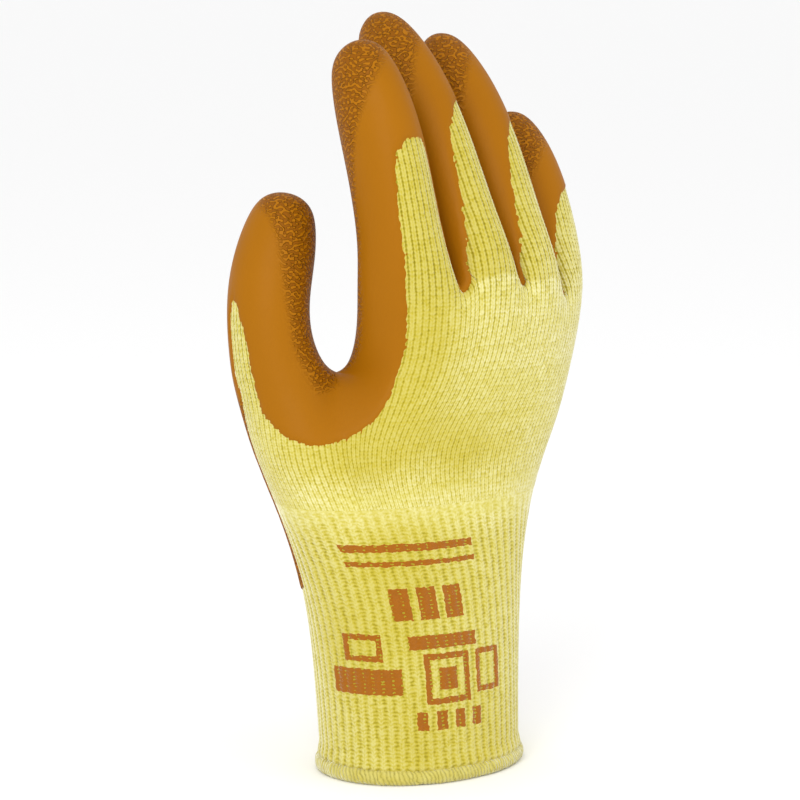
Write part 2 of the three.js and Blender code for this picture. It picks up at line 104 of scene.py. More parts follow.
# The bare knit left on each digit, as stations along it: share of its length, then both edges as
# angles round the digit from the back of the hand, negative towards the thumb.
BARE_DIGITS = {
    "index": [(0, -36, 44), (0.05, -35, 38), (0.14, -35, 38), (0.29, -35, 40), (0.42, -31, 42),
              (0.49, -26, 40), (0.53, -17, 33), (0.548, 0, 20), (0.552, 8, 12)],
    "middle": [(0, -38, 60), (0.04, -34, 60), (0.14, -29, 60), (0.24, -25, 60), (0.32, -22, 60),
               (0.41, -17, 60), (0.47, -5, 58), (0.52, 14, 54), (0.56, 36, 36)],
    "ring": [(0, -33, 60), (0.05, -27, 60), (0.10, -24, 60), (0.20, -20, 60), (0.30, -15, 60),
             (0.39, -8, 60), (0.46, 4, 58), (0.51, 22, 54), (0.55, 38, 38)],
    "little": [(0, -36, 95), (0.06, -30, 92), (0.20, -25, 85), (0.32, -14, 76), (0.42, 6, 68),
               (0.47, 36, 60), (0.49, 48, 48)],
    "thumb": [(0, -103, -71), (0.14, -111, -71), (0.24, -109, -70), (0.31, -110, -75),
              (0.38, -110, -86), (0.44, -104, -95), (0.465, -99, -99)],
}
BareBack = namedtuple("BareBack", "height from_column to_column")
BARE_LOWER = [BareBack(0, -1.8, 15.6), BareBack(0.38, -1.8, 15.6), BareBack(0.52, -1.9, 15.6),
              BareBack(0.62, -1.6, 15.6), BareBack(0.69, -1.56, 15.6), BareBack(0.77, -1.31, 15.4),
              BareBack(0.80, -1.29, 15.3)]
BARE_UPPER = [BareBack(0.80, 0.14, 12.5), BareBack(1, 0.2, 12.1)]
COLUMN_WIDTH = 0.008
LIP_BARE = 0.0032
PRINT_CLEAR = 0.059
CrotchCoat = namedtuple("CrotchCoat", "across back height radius")
CROTCH_COATS = [CrotchCoat(-0.481, -0.103, 0.8508, 0.0262), CrotchCoat(-0.325, 0.03, 0.816, 0.0215)]

# Where the latex is crinkled, as shares of a digit's length and the angle there: on a finger to the
# thumb's side of the first line and the little finger's side of the second, on the thumb to the palm
# side of its line.
CRINKLED_FINGERS = {
    "index": [(0, -120), (0.36, -116), (0.53, -98), (0.63, -79), (0.72, -53), (0.79, -30), (0.86, 0),
              (0.95, 40)],
    "middle": [(0, -120), (0.40, -105), (0.63, -41), (0.69, -27), (0.75, -5), (0.85, 30), (0.93, 45)],
    "ring": [(0, -120), (0.45, -100), (0.66, -43), (0.72, -26), (0.80, 3), (0.89, 26), (0.95, 45)],
    "little": [(0, -120), (0.45, -80), (0.59, -26), (0.67, -3), (0.76, 37), (0.87, 45)],
}
CRINKLED_FAR_SIDE = [(0, 120), (0.6, 110), (0.9, 80), (1, 50)]
CRINKLED_THUMB = [(0, 0), (0.35, 0), (0.49, -9), (0.61, -22), (0.75, -38), (0.85, -61), (0.93, -125),
                  (1, -200)]

# Plain printed blocks and frames on the cuff: the middle and half sizes of each, measured round the
# cuff from the middle of the print and up from the wrist opening. Line is a frame's own thickness.
Mark = namedtuple("Mark", "across up half_width half_height line")
PRINTED_MARKS = [
    Mark(0.0060, 0.0765, 0.0200, 0.0012, 0),
    Mark(0.0060, 0.0715, 0.0200, 0.0008, 0),
    *[Mark(across, 0.0585, 0.0030, 0.0052, 0) for across in (-0.0010, 0.0075, 0.0160)],
    Mark(-0.0150, 0.0445, 0.0062, 0.0044, 0.0018),
    Mark(0.0110, 0.0460, 0.0115, 0.0022, 0),
    Mark(-0.0150, 0.0335, 0.0115, 0.0042, 0),
    Mark(0.0115, 0.0340, 0.0078, 0.0082, 0.0020),
    Mark(0.0115, 0.0340, 0.0032, 0.0036, 0),
    Mark(0.0270, 0.0350, 0.0050, 0.0070, 0.0018),
    *[Mark(across, 0.0205, 0.0018, 0.0030, 0) for across in (0.0020, 0.0085, 0.0150, 0.0215)],
]

# How finely the form, the stitches, the ribs and the hem's threads are divided, and the greatest gap
# that the net's points are welded over.
SMOOTHING = 4
CELLS = 2**SMOOTHING
FINGER_STEPS = 160
WALE_STEPS = 4
COURSE_STEPS = 3
RIB_STEPS = 6
INNER_ROW_STEP = 12
THREAD_STEPS = 5
HEM_STEPS = 28
WELD = 2e-5
COURSES_PER_WALE = 1.4

# The knit's back lies KNIT_BACK under the smooth form, and the two faces of its inner side LINING_FACES
# under that. Within the latex the knit goes on for KNIT_UNDER and sinks by KNIT_SINK. The latex is
# LATEX_SKIN thick and goes on for LATEX_OVER past its ragged edge, LATEX_TUCK under the form. The fork
# of the thumb counts as FORK_DEPTH inside the latex or more.
KNIT_BACK = 0.0005
LINING_FACES = (0.00065, 0.0012)
KNIT_UNDER = 0.0022
KNIT_SINK = 0.0005
LATEX_OVER = 0.0018
LATEX_TUCK = 0.0006
LATEX_SKIN = 0.0004
LATEX_RAGGED = 0.0003
FORK_DEPTH = 0.004

# How far a stitch's leg leans, as a share of a course, the level of its relief that lies on the form,
# and how far a digit's middle point stands over the end of its line.
STITCH_LEAN = 0.45
STITCH_LEVEL = 0.62
TIP_RISE = 0.001

# The cuff's inner face lies CUFF_INNER under the form, its lower edge goes CUFF_TUCK down into the hem
# and CUFF_TUCK_IN inwards, and it flares by CUFF_FLARE over its first courses. The hem's outer face
# stands HEM_PROUD over the form, and its threads slant by THREAD_SLANT threads once round the roll.
CUFF_INNER = 0.0013
CUFF_TUCK = 0.0022
CUFF_TUCK_IN = 0.0010
CUFF_FLARE = 0.0007
FLARED_COURSES = 3.5
HEM_PROUD = 0.0013
THREAD_SLANT = 3

# The latex's folds are summed from FOLD_WAVES waves. The most level of them rises by FOLD_LEAST_RISE,
# each starts FOLD_OFFSET on from the one before, and all drift by DRIFT_REACH of their own pitch.
FOLD_WAVES = 13
FOLD_LEAST_RISE = 0.4
FOLD_OFFSET = 2.1
DRIFT_REACH = 1.3
DRIFT_FINENESS = 0.35
GOLDEN_ANGLE = math.pi * (3 - math.sqrt(5))

# Where the back of the hand is painted a deeper yellow with paler sides, as painted sheen: its middle in X
# and a band's height in Z.
MIDDLE_OF_BACK = -0.005
PAINTED_DEEP_BAND = 0.1065

# The photograph's camera: its angles and distance from the target, and how far its picture is
# shifted, in pixels.
PHOTO_AZIMUTH = math.radians(-39)
PHOTO_ELEVATION = math.radians(7.55)
PHOTO_DISTANCE = 0.974
PHOTO_TARGET = (0, 0, 0.125)
PHOTO_PIXELS = 800
PHOTO_SHIFT = (-19.6, -20.4)
PIXELS_PER_METRE = 3130
SENSOR_WIDTH = 36


def a_length(name, description, default):
    return bpy.props.FloatProperty(name=name, description=description, default=default, unit="LENGTH")


def a_count(name, description, default):
    return bpy.props.IntProperty(name=name, description=description, default=default)


def a_colour(name, description, default):
    return bpy.props.FloatVectorProperty(
        name=name, description=description, default=default, subtype="COLOR")


class GloveSizes(bpy.types.PropertyGroup):
    knuckle_height: a_length("Knuckle height", "From the wrist opening to the roots of the fingers", 0.158)
    palm_breadth: a_length("Palm breadth", "Across the knuckles", 0.100)
    palm_depth: a_length("Palm depth", "From the back of the hand to the palm", 0.036)
    finger_length: a_length("Finger length", "Of the middle finger", 0.091)
    finger_width: a_length("Finger width", "Across a finger", 0.023)
    wale_width: a_length("Wale width", "One column of stitches", 0.0018)
    course_height: a_length("Course height", "One row of stitches", 0.00125)
    stitch_relief: a_length("Stitch relief", "From the gap between stitches to their crown", 0.0004)
    rib_count: a_count("Ribs", "Ribs round the cuff", 64)
    rib_relief: a_length("Rib relief", "From a rib's crest to its groove", 0.00024)
    latex_lift: a_length("Latex lift", "How far the latex stands over the knit", 0.0005)
    crinkle_pitch: a_length("Crinkle pitch", "Between two wrinkles of the latex", 0.0014)
    hem_height: a_length("Hem height", "Of the rolled hem", 0.005)
    hem_thickness: a_length("Hem thickness", "Through the rolled hem", 0.004)
    hem_threads: a_count("Hem threads", "Overlock threads laid round the hem", 150)


class GloveColours(bpy.types.PropertyGroup):
    yarn: a_colour("Yarn", "Pale yellow crown of the stitches", (0.53, 0.455, 0.068))
    # Painted highlight on the stitches' crowns, and the paler end of the hem's yarn.
    yarn_pale: a_colour("Pale yarn", "Paler streaks of the yarn", (0.65, 0.605, 0.225))
    # Painted highlight on the crowns where they lie in the pale streaks.
    streak_highlight: a_colour("Bleached yarn", "Palest streaks of the yarn", (0.74, 0.705, 0.40))
    yarn_deep: a_colour("Deep yarn", "Deeper yellow next to the latex", (0.46, 0.375, 0.030))
    # Painted shade in the hollows between the stitches and between the hem's threads.
    painted_gap_shade: a_colour("Gap", "Olive yellow between the stitches", (0.24, 0.195, 0.008))
    latex: a_colour("Latex", "Ochre of the coat", (0.31, 0.112, 0.0015))
    # Painted shade in the furrows of the latex's wrinkles.
    latex_deep: a_colour("Deep latex", "Darker ochre in its wrinkles", (0.19, 0.057, 0.001))
    ink: a_colour("Ink", "Brown print on the cuff", (0.27, 0.072, 0.0015))
    floor: a_colour("Floor", "Pale studio floor", (0.95, 0.95, 0.95))



# The smooth form

Face = namedtuple("Face", "corners piece column count lip")
Digit = namedtuple("Digit", "line along width length")


def even_line(points, count=101):
    """The same line as count points an equal length apart."""
    steps = np.linalg.norm(np.diff(points, axis=0), axis=1)
    run = np.concatenate([[0], np.cumsum(steps)])
    at = np.linspace(0, run[-1], count)
    return np.column_stack([np.interp(at, run, points[:, axis]) for axis in range(3)])


def mixed(t, low, high, one, two):
    return ((high - t) * one + (t - low) * two) / (high - low)


def through_knots(knots, steps=60):
    """A smooth line through the knots, a centripetal Catmull-Rom spline."""
    ends = [2 * knots[0] - knots[1], *knots, 2 * knots[-1] - knots[-2]]
    line = []
    for p0, p1, p2, p3 in zip(ends, ends[1:], ends[2:], ends[3:]):
        t1 = np.linalg.norm(p1 - p0) ** 0.5
        t2 = t1 + np.linalg.norm(p2 - p1) ** 0.5
        t3 = t2 + np.linalg.norm(p3 - p2) ** 0.5
        for t in np.linspace(t1, t2, steps, endpoint=False):
            a1 = mixed(t, 0, t1, p0, p1)
            a2 = mixed(t, t1, t2, p1, p2)
            a3 = mixed(t, t2, t3, p2, p3)
            line.append(mixed(t, t1, t2, mixed(t, 0, t2, a1, a2), mixed(t, t1, t3, a2, a3)))
    return even_line(np.array([*line, knots[-1]]))


def unit(vector):
    return vector / np.linalg.norm(vector, axis=-1, keepdims=True)


def digit_sides(along):
    """The directions across a digit, towards the little finger, and to its back."""
    across = np.array([1.0, 0, 0])
    across = unit(across - along * (along @ across)[..., None])
    return across, np.cross(across, along)


class Cage:
    """The coarse net that the smooth form is rounded off from."""

    def __init__(self, sizes):
        self.sizes = sizes
        self.points = []
        self.faces = []
        self.digits = {}
        ring = self.hand_ring(CUFF_SECTIONS[0], LOWER_COLUMNS)
        for shape in CUFF_SECTIONS[1:]:
            ring = self.bridge(ring, self.hand_ring(shape, LOWER_COLUMNS), "cuff")
        ring = self.bridge(ring, self.hand_ring(HEEL_SECTION, LOWER_COLUMNS), "palm")
        fork = self.hand_ring(FORK_SECTION, PALM_COLUMNS)
        rises = [shape.rise for shape in FINGERS for _ in range(3)]
        knuckles = self.hand_ring(KNUCKLE_SECTION, PALM_COLUMNS, rises)
        self.grow_thumb(ring, fork)
        self.bridge(fork, knuckles, "palm")
        self.grow_fingers(knuckles)

    def add_point(self, where):
        self.points.append(np.array(where, float))
        return len(self.points) - 1

    def add_face(self, corners, piece, column=None, count=0, lip=None):
        self.faces.append(Face(tuple(corners), piece, column, count, lip))

    def by_hand(self, spot):
        """A point given as shares of the palm's breadth and the knuckle height."""
        breadth, height = self.sizes.palm_breadth, self.sizes.knuckle_height
        return np.array([spot.across * breadth, spot.back * breadth, spot.height * height])

    def on_section(self, shape, share, side, lift=0.0):
        oval = max(0.0, 1 - abs(share) ** shape.square) ** (1 / shape.square)
        x = shape.width * self.sizes.palm_breadth / 2 * share
        y = (side * shape.depth / 2 * oval + shape.bow * share * share) * self.sizes.palm_depth
        turn = math.radians(shape.turn)
        return [
            x * math.cos(turn) - y * math.sin(turn) + shape.across * self.sizes.palm_breadth,
            x * math.sin(turn) + y * math.cos(turn) + shape.back * self.sizes.palm_breadth,
            (shape.height + shape.tilt * share) * self.sizes.knuckle_height + lift,
        ]

    def hand_ring(self, shape, columns, lifts=None):
        """The columns of the back, the little finger's edge, the palm's columns, the thumb's edge."""
        lifts = lifts or [0.0] * len(columns)
        back = [self.on_section(shape, share, -1, lift) for share, lift in zip(columns, lifts)]
        palm = [self.on_section(shape, share, 1, lift) for share, lift in zip(columns, lifts)]
        edges = [self.on_section(shape, 1, 1, lifts[-1]), self.on_section(shape, -1, 1, lifts[0])]
        return [self.add_point(where) for where in [*back, edges[0], *palm[::-1], edges[1]]]

    def bridge(self, below, above, piece):
        count = len(below)
        for i in range(count):
            after = (i + 1) % count
            self.add_face([below[i], below[after], above[after], above[i]], piece, i, count)
        return above

    def digit_ring(self, centre, along, width, depth):
        across, back = digit_sides(along)
        angles = [math.radians((side - 1) * 45) for side in range(8)]
        return [
            self.add_point(
                centre
                + across * (width / 2 * EIGHT_SIDED * math.sin(angle))
                + back * (depth / 2 * EIGHT_SIDED * math.cos(angle))
            )
            for angle in angles
        ]

    def grow_digit(self, name, root, line, shape):
        width = shape.width * self.sizes.finger_width
        depth = shape.depth * self.sizes.finger_width
        along = unit(np.gradient(line, axis=0))
        below = root
        for at, size in DIGIT_RINGS:
            slim = size * (1 - (1 - shape.taper) * at)
            place = at * (len(line) - 1)
            here = np.array([np.interp(place, range(len(line)), line[:, axis]) for axis in range(3)])
            above = self.digit_ring(here, along[round(place)], width * slim, depth * slim)
            below = self.bridge(below, above, name)
        tip = self.add_point(line[-1] + along[-1] * TIP_RISE)
        for side in (7, 1, 3, 5):
            self.add_face([below[side], below[(side + 1) % 8], below[(side + 2) % 8], tip], name)
        length = np.linalg.norm(np.diff(line, axis=0), axis=1).sum()
        self.digits[name] = Digit(line, along, width, length)

    def grow_thumb(self, ring, fork):
        knots = np.array([self.by_hand(bend) for bend in THUMB_LINE])
        line = through_knots(knots)
        rise = unit(unit(line[1] - line[0]) + np.array([0, 0, 1.0]))
        root = self.digit_ring(
            knots[0], rise,
            THUMB.width * THUMB.root_width * self.sizes.finger_width,
            THUMB.depth * THUMB.root_depth * self.sizes.finger_width)
        self.bridge(ring, [*root[:3], *fork[:25], *root[4:]], "palm")
        self.add_face([root[2], fork[0], fork[25], root[3]], "fork")
        self.add_face([root[3], fork[25], fork[24], root[4]], "fork")
        self.grow_digit("thumb", root, line, THUMB)

    def grow_fingers(self, knuckles):
        roots = []
        for i in range(4):
            back = knuckles[3 * i:3 * i + 3]
            palm = knuckles[22 - 3 * i:25 - 3 * i]
            roots.append([*back, None, *palm, None])
        roots[0][7] = knuckles[25]
        roots[3][3] = knuckles[12]
        for one, two in zip(roots, roots[1:]):
            middle = np.mean([self.points[i] for i in (one[2], two[0], one[4], two[6])], axis=0)
            middle[2] -= CROTCH_DROP
            across = unit(self.points[two[0]] - self.points[one[2]])
            one[3] = self.add_point(middle - across * CROTCH_HALF)
            two[7] = self.add_point(middle + across * CROTCH_HALF)
            lip = (self.points[one[2]] + self.points[two[0]]) / 2
            self.add_face([one[2], two[0], two[7], one[3]], "crotch", lip=lip[1])
            self.add_face([one[3], two[7], two[6], one[4]], "crotch", lip=lip[1])
        for shape, root in zip(FINGERS, roots):
            start = np.mean([self.points[root[side]] for side in (0, 1, 2, 4, 5, 6)], axis=0)
            share = (np.arange(FINGER_STEPS) + 0.5) / FINGER_STEPS
            lean = np.radians(shape.lean + shape.curl * share)
            splay = np.radians(shape.splay + shape.swing * share)
            flat = np.cos(lean)
            along = np.column_stack([np.sin(splay) * flat, np.sin(lean), np.cos(splay) * flat])
            steps = along * shape.length * self.sizes.finger_length / FINGER_STEPS
            line = even_line(start + np.vstack([[0, 0, 0], np.cumsum(steps, axis=0)]))
            self.grow_digit(shape.name, root, line, shape)


def read_values(items, name, width, kind=float):
    """One value, or a few, of every item of a mesh."""
    values = np.empty(len(items) * width, kind)
    items.foreach_get(name, values)
    return values


class Form:
    """The rounded form: a square net of points and outward normals over every face of the cage."""

    def __init__(self, sizes):
        self.sizes = sizes
        self.cage = Cage(sizes)
        self.faces = self.cage.faces
        mesh = bpy.data.meshes.new("smooth_form")
        mesh.from_pydata(self.cage.points, [], [face.corners for face in self.faces])
        places = [(i + s, t) for i in range(len(self.faces)) for s, t in ((0, 0), (1, 0), (1, 1), (0, 1))]
        mesh.uv_layers.new(name="place").uv.foreach_set("vector", np.array(places, float).ravel())
        rounded = bpy.data.objects.new("smooth_form", mesh)
        bpy.context.collection.objects.link(rounded)
        select_only(rounded)
        smooth = rounded.modifiers.new("Smooth", "SUBSURF")
        smooth.levels = smooth.render_levels = SMOOTHING
        smooth.uv_smooth = "NONE"
        bpy.ops.object.modifier_apply(modifier=smooth.name)
        self.read(mesh)
        bpy.data.objects.remove(rounded)
        self.counts = self.stitch_counts()

    def read(self, mesh):
        points = read_values(mesh.vertices, "co", 3).reshape(-1, 3)
        normals = read_values(mesh.vertex_normals, "vector", 3).reshape(-1, 3)
        corners = read_values(mesh.loops, "vertex_index", 1, int).reshape(-1, 4)
        place = read_values(mesh.uv_layers["place"].uv, "vector", 2).reshape(-1, 4, 2)
        face = np.floor(place[:, :, 0].mean(axis=1)).astype(int)
        s = np.rint((place[:, :, 0] - face[:, None]) * CELLS).astype(int)
        t = np.rint(place[:, :, 1] * CELLS).astype(int)
        net = np.empty((len(self.faces), CELLS + 1, CELLS + 1), int)
        net[face[:, None], t, s] = corners
        self.points = points[net]
        self.normals = normals[net]

    def stitch_counts(self):
        """Stitches along each edge of the cage. Opposite edges of a face hold the same number."""
        family = {}

        def head(edge):
            while family.setdefault(edge, edge) != edge:
                edge = family[edge]
            return edge

        upright = set()
        lengths = {}
        for face, net in zip(self.faces, self.points):
            edges = [edge_of(*pair) for pair in zip(face.corners, face.corners[1:] + face.corners[:1])]
            for one, two in ((edges[0], edges[2]), (edges[1], edges[3])):
                family[head(one)] = head(two)
            if face.column is not None:
                upright.update((edges[1], edges[3]))
            sides = [net[0], net[:, -1], net[-1], net[:, 0]]
            for k in (1, 3) if face.piece == "cuff" else range(4):
                lengths.setdefault(edges[k], np.linalg.norm(np.diff(sides[k], axis=0), axis=1).sum())
        grouped = {}
        for edge, length in lengths.items():
            grouped.setdefault(head(edge), []).append(length)
        tall = {head(edge) for edge in upright}
        counts = {}
        for edge in list(family):
            group = head(edge)
            if group in grouped:
                pitch = self.sizes.course_height if group in tall else self.sizes.wale_width
                counts[edge] = (max(2, round(np.mean(grouped[group]) / pitch)), group in tall)
        return counts

    def face_counts(self, i):
        """(stitches across, whether they are courses) and the same up a face."""
        first, second, third, _ = self.faces[i].corners
        return self.counts[edge_of(first, second)], self.counts[edge_of(second, third)]


def edge_of(one, two):
    return (min(one, two), max(one, two))


def spaced(values, count):
    """Each row of values, whose first three are a place, at count + 1 places equal lengths apart."""
    steps = np.linalg.norm(np.diff(values[:, :, :3], axis=1), axis=2)
    lengths = np.concatenate([np.zeros((len(steps), 1)), np.cumsum(steps, axis=1)], axis=1)
    out = np.empty((len(values), count + 1, values.shape[2]))
    index = np.arange(lengths.shape[1])
    for row, length, given in zip(out, lengths, values):
        place = np.interp(np.linspace(0, length[-1], count + 1), length, index)
        low = np.minimum(place.astype(int), len(index) - 2)
        row[:] = given[low] + (place - low)[:, None] * (given[low + 1] - given[low])
    return out


def corners_of(net):
    """The four corners of every cell of a net, in order round the cell."""
    return np.stack([net[:-1, :-1], net[:-1, 1:], net[1:, 1:], net[1:, :-1]], axis=2)


class Cloth:
    """A welded net of small faces over some of the form's faces, with what each point needs to know:
    its place in the rows of stitches and how deep it lies inside the latex coat."""

    def __init__(self, form, pieces, wale_steps, course_steps):
        self.form = form
        self.steps = {True: course_steps, False: wale_steps}
        order = sorted(
            (i for i, face in enumerate(form.faces) if face.piece in pieces),
            key=lambda i: form.faces[i].piece in ("palm", "cuff"),
        )
        sheets = []
        start = 0
        for i in order:
            sheets.append(self.lay_face(i, start))
            start += len(sheets[-1]["points"])
        laid = {key: np.concatenate([sheet[key] for sheet in sheets]) for key in sheets[0]}
        cell = np.rint(laid["points"] / WELD).astype(np.int64)
        key = (cell[:, 0] * 200003 + cell[:, 1]) * 200003 + cell[:, 2]
        _, first, where = np.unique(key, return_index=True, return_inverse=True)
        self.points = laid["points"][first]
        normals = np.zeros_like(self.points)
        np.add.at(normals, where, laid["normals"])
        self.normals = unit(normals)
        self.quads = where[laid["quads"]]
        self.uv = laid["uv"]
        self.piece = laid["piece"]
        self.phase = laid["phase"][first]
        self.depth = self.eased(laid["depth"][first], 12)
        self.crinkle = self.eased(laid["crinkle"][first], 3)
        self.open = self.eased(laid["open"][first], 12)

    def lay_face(self, i, start):
        """One face's net, its points numbered from start, in rows and columns of equal lengths."""
        form = self.form
        face = form.faces[i]
        (wide, wide_is_course), (tall, tall_is_course) = form.face_counts(i)
        across = wide * self.steps[wide_is_course]
        up = tall * self.steps[tall_is_course]
        both = np.concatenate([form.points[i], form.normals[i]], axis=2)
        for count in (across, up):
            both = spaced(both, count).transpose(1, 0, 2)
        points, normals = both[:, :, :3].reshape(-1, 3), both[:, :, 3:].reshape(-1, 3)
        s, t = np.meshgrid(np.linspace(0, 1, across + 1), np.linspace(0, 1, up + 1))
        courses = tall if tall_is_course else max(1, round(tall * COURSES_PER_WALE))
        stitch = np.stack([s * wide, t * courses], axis=2)
        index = start + np.arange((across + 1) * (up + 1)).reshape(up + 1, across + 1)
        return {
            "points": points,
            "normals": normals,
            "phase": stitch.reshape(-1, 2) % 1.0,
            "depth": coat_depth(form.cage, face, points, s.ravel()),
            "crinkle": crinkled(form.cage, face, points, normals),
            "open": stitch_openness(face, points),
            "quads": corners_of(index).reshape(-1, 4),
            "uv": corners_of(stitch).reshape(-1, 4, 2),
            "piece": np.full(across * up, face.piece),
        }

    def eased(self, value, rounds):
        """A value evened out between neighbouring points."""
        one = self.quads.ravel()
        two = np.roll(self.quads, 1, axis=1).ravel()
        near = np.bincount(one, minlength=len(value)) + np.bincount(two, minlength=len(value))
        for _ in range(rounds):
            total = np.bincount(one, value[two], len(value)) + np.bincount(two, value[one], len(value))
            value = (value + total / np.maximum(near, 1)) / 2
        return value


def outside_bare_digit(digit, stations, points):
    """How far each point of a digit lies outside the bare patch on its back."""
    at, angle = digit_place(digit, points)
    stations = np.array([(-0.3, *stations[0][1:]), *stations])
    middle = stations[:, 1:].mean()
    angle = (angle - middle + 540) % 360 - 180 + middle
    low = np.interp(at, stations[:, 0], stations[:, 1])
    high = np.interp(at, stations[:, 0], stations[:, 2])
    inside = (angle > low) & (angle < high) & (at < stations[-1, 0])
    here = np.column_stack([np.radians(angle) * digit.width / 2, at * digit.length])
    away = np.full(len(points), np.inf)
    for side in (1, 2):
        round_digit = np.radians(stations[:, side]) * digit.width / 2
        edge = np.column_stack([round_digit, stations[:, 0] * digit.length])
        for one, two in zip(edge, edge[1:]):
            run = two - one
            share = np.clip((here - one) @ run / (run @ run), 0, 1)
            away = np.minimum(away, np.linalg.norm(here - one - share[:, None] * run, axis=1))
    return np.where(inside, -away, away)


def digit_place(digit, points):
    """Each point's share of the digit's length, and its angle round the digit from the back."""
    nearest = np.linalg.norm(points[:, None] - digit.line[None], axis=2).argmin(axis=1)
    across, back = digit_sides(digit.along[nearest])
    away = points - digit.line[nearest]
    angle = np.degrees(np.arctan2((away * across).sum(axis=1), (away * back).sum(axis=1)))
    ahead = (away * digit.along[nearest]).sum(axis=1) / digit.length
    return nearest / (len(digit.line) - 1) + ahead, angle


def coat_depth(cage, face, points, s):
    """How far points lie inside the latex's edge, below nought where the knit is bare."""
    if face.piece in BARE_DIGITS:
        return outside_bare_digit(cage.digits[face.piece], BARE_DIGITS[face.piece], points)
    if face.piece == "crotch":
        return points[:, 1] - face.lip - LIP_BARE
    by_crotch = np.full(len(points), -1.0)
    for coat in CROTCH_COATS:
        inside = coat.radius - np.linalg.norm(points - cage.by_hand(coat), axis=1)
        by_crotch = np.maximum(by_crotch, inside)
    if face.piece == "fork":
        return np.maximum(by_crotch, FORK_DEPTH)
    table = BARE_UPPER if face.count == UPPER_COUNT else BARE_LOWER
    heights, lows, highs = zip(*table)
    height = points[:, 2] / cage.sizes.knuckle_height
    low, high = np.interp(height, heights, lows), np.interp(height, heights, highs)
    off = np.abs((face.column + s - (low + high) / 2 + 1.5 * face.count) % face.count - face.count / 2)
    on_back = (off - (high - low) / 2) * COLUMN_WIDTH
    return np.minimum(np.maximum(on_back, by_crotch), points[:, 2] - PRINT_CLEAR)


def smoothstep(low, high, value):
    share = np.clip((value - low) / (high - low), 0, 1)
    return share * share * (3 - 2 * share)


def crinkled(cage, face, points, normals):
    """How strongly the latex is wrinkled, from 0 to 1: on the palm side and at the fingertips."""
    if face.piece not in BARE_DIGITS:
        return smoothstep(0.05, 0.4, normals[:, 1])
    at, angle = digit_place(cage.digits[face.piece], points)
    if face.piece == "thumb":
        edge = np.interp(at, *zip(*CRINKLED_THUMB))
        past = (angle - edge + 90) % 360 - 90
        return np.where(at > 0.98, 1, smoothstep(-4, 6, past) * (1 - smoothstep(214, 226, past + edge)))
    near = np.interp(at, *zip(*CRINKLED_FINGERS[face.piece]))
    far = np.interp(at, *zip(*CRINKLED_FAR_SIDE))
    return np.maximum(smoothstep(-5, 5, near - angle), smoothstep(-5, 5, angle - far))


def stitch_openness(face, points):
    """How clearly the stitches show: fully on the digits, less on the hand, hardly next to the cuff."""
    hand = 0.25 + 0.25 * smoothstep(0.090, 0.102, points[:, 2])
    on_digit = 1.0 if face.piece in BARE_DIGITS else smoothstep(0.140, 0.162, points[:, 2])
    return np.maximum(hand, on_digit)


def stitch_height(phase):
    """The height of a plain stitch, from 0 in the hole between four stitches to 1 on a leg's crown."""
    off = np.abs(2 * phase[:, 0] - 1)
    leg = 0.5 + 0.5 * np.cos(2 * math.pi * (phase[:, 1] - STITCH_LEAN * off))
    across = np.interp(off, [0, 0.5, 0.8, 1], [0.7, 1, 0.8, 0.4])
    return across * (1 - (0.12 + 0.5 * off * off) * (1 - leg))


# Meshes

def select_only(piece):
    bpy.ops.object.select_all(action="DESELECT")
    piece.select_set(True)
    bpy.context.view_layer.objects.active = piece


def without_pinches(quads):
    """Which faces stay when those round a point where an edge of the sheet meets itself are dropped."""
    kept = np.ones(len(quads), bool)
    size = quads.max() + 1
    for _ in range(8):
        one = quads[kept].ravel()
        two = np.roll(quads[kept], -1, axis=1).ravel()
        edges, counts = np.unique(np.minimum(one, two) * size + np.maximum(one, two), return_counts=True)
        border = edges[counts == 1]
        pinched = np.bincount(np.concatenate([border // size, border % size]), minlength=size) > 2
        if not pinched.any():
            break
        kept &= ~pinched[quads].any(axis=1)
    return kept


def rim_of(quads):
    """The border edges of a sheet, each in the direction of its own face."""
    one = quads.ravel()
    two = np.roll(quads, -1, axis=1).ravel()
    size = quads.max() + 1
    back = np.isin(one * size + two, two * size + one)
    return one[~back], two[~back]


def make_shell(name, outer, inner, quads, uv, values, material):
    """A closed shell between two sheets over the same faces, with its stitch map and point values."""
    kept = without_pinches(quads)
    used, quads = np.unique(quads[kept], return_inverse=True)
    quads = quads.reshape(-1, 4)
    uv = uv[kept]
    count = len(used)
    one, two = rim_of(quads)
    rim = np.column_stack([two, one, one + count, two + count])
    faces = np.concatenate([quads, quads[:, ::-1] + count, rim])
    uvs = np.concatenate([uv, uv[:, ::-1], np.zeros((len(rim), 4, 2))])
    fields = {key: np.concatenate([value[used], value[used]]) for key, value in values.items()}
    return make_mesh(name, np.concatenate([outer[used], inner[used]]), faces, uvs, fields, material)


def make_mesh(name, points, faces, uvs, values, material):
    mesh = bpy.data.meshes.new(name)
    mesh.vertices.add(len(points))
    mesh.vertices.foreach_set("co", points.ravel())
    mesh.loops.add(4 * len(faces))
    mesh.loops.foreach_set("vertex_index", faces.ravel())
    mesh.polygons.add(len(faces))
    mesh.polygons.foreach_set("loop_start", np.arange(0, 4 * len(faces), 4))
    mesh.update(calc_edges=True)
    mesh.polygons.foreach_set("use_smooth", np.ones(len(faces), bool))
    mesh.uv_layers.new(name="stitches").uv.foreach_set("vector", uvs.ravel())
    for key, value in values.items():
        mesh.attributes.new(key, "FLOAT", "POINT").data.foreach_set("value", value.astype(np.float32))
    mesh.set_sharp_from_angle(angle=math.radians(80))
    mesh.materials.append(material)
    mesh.validate()
    piece = bpy.data.objects.new(name, mesh)
    bpy.context.collection.objects.link(piece)
    return piece


def rings_of_faces(rows, count, start=0):
    """The faces between rows of points that close on themselves."""
    index = start + np.arange(rows * count).reshape(rows, count)
    return corners_of(np.column_stack([index, index[:, 0]])).reshape(-1, 4)


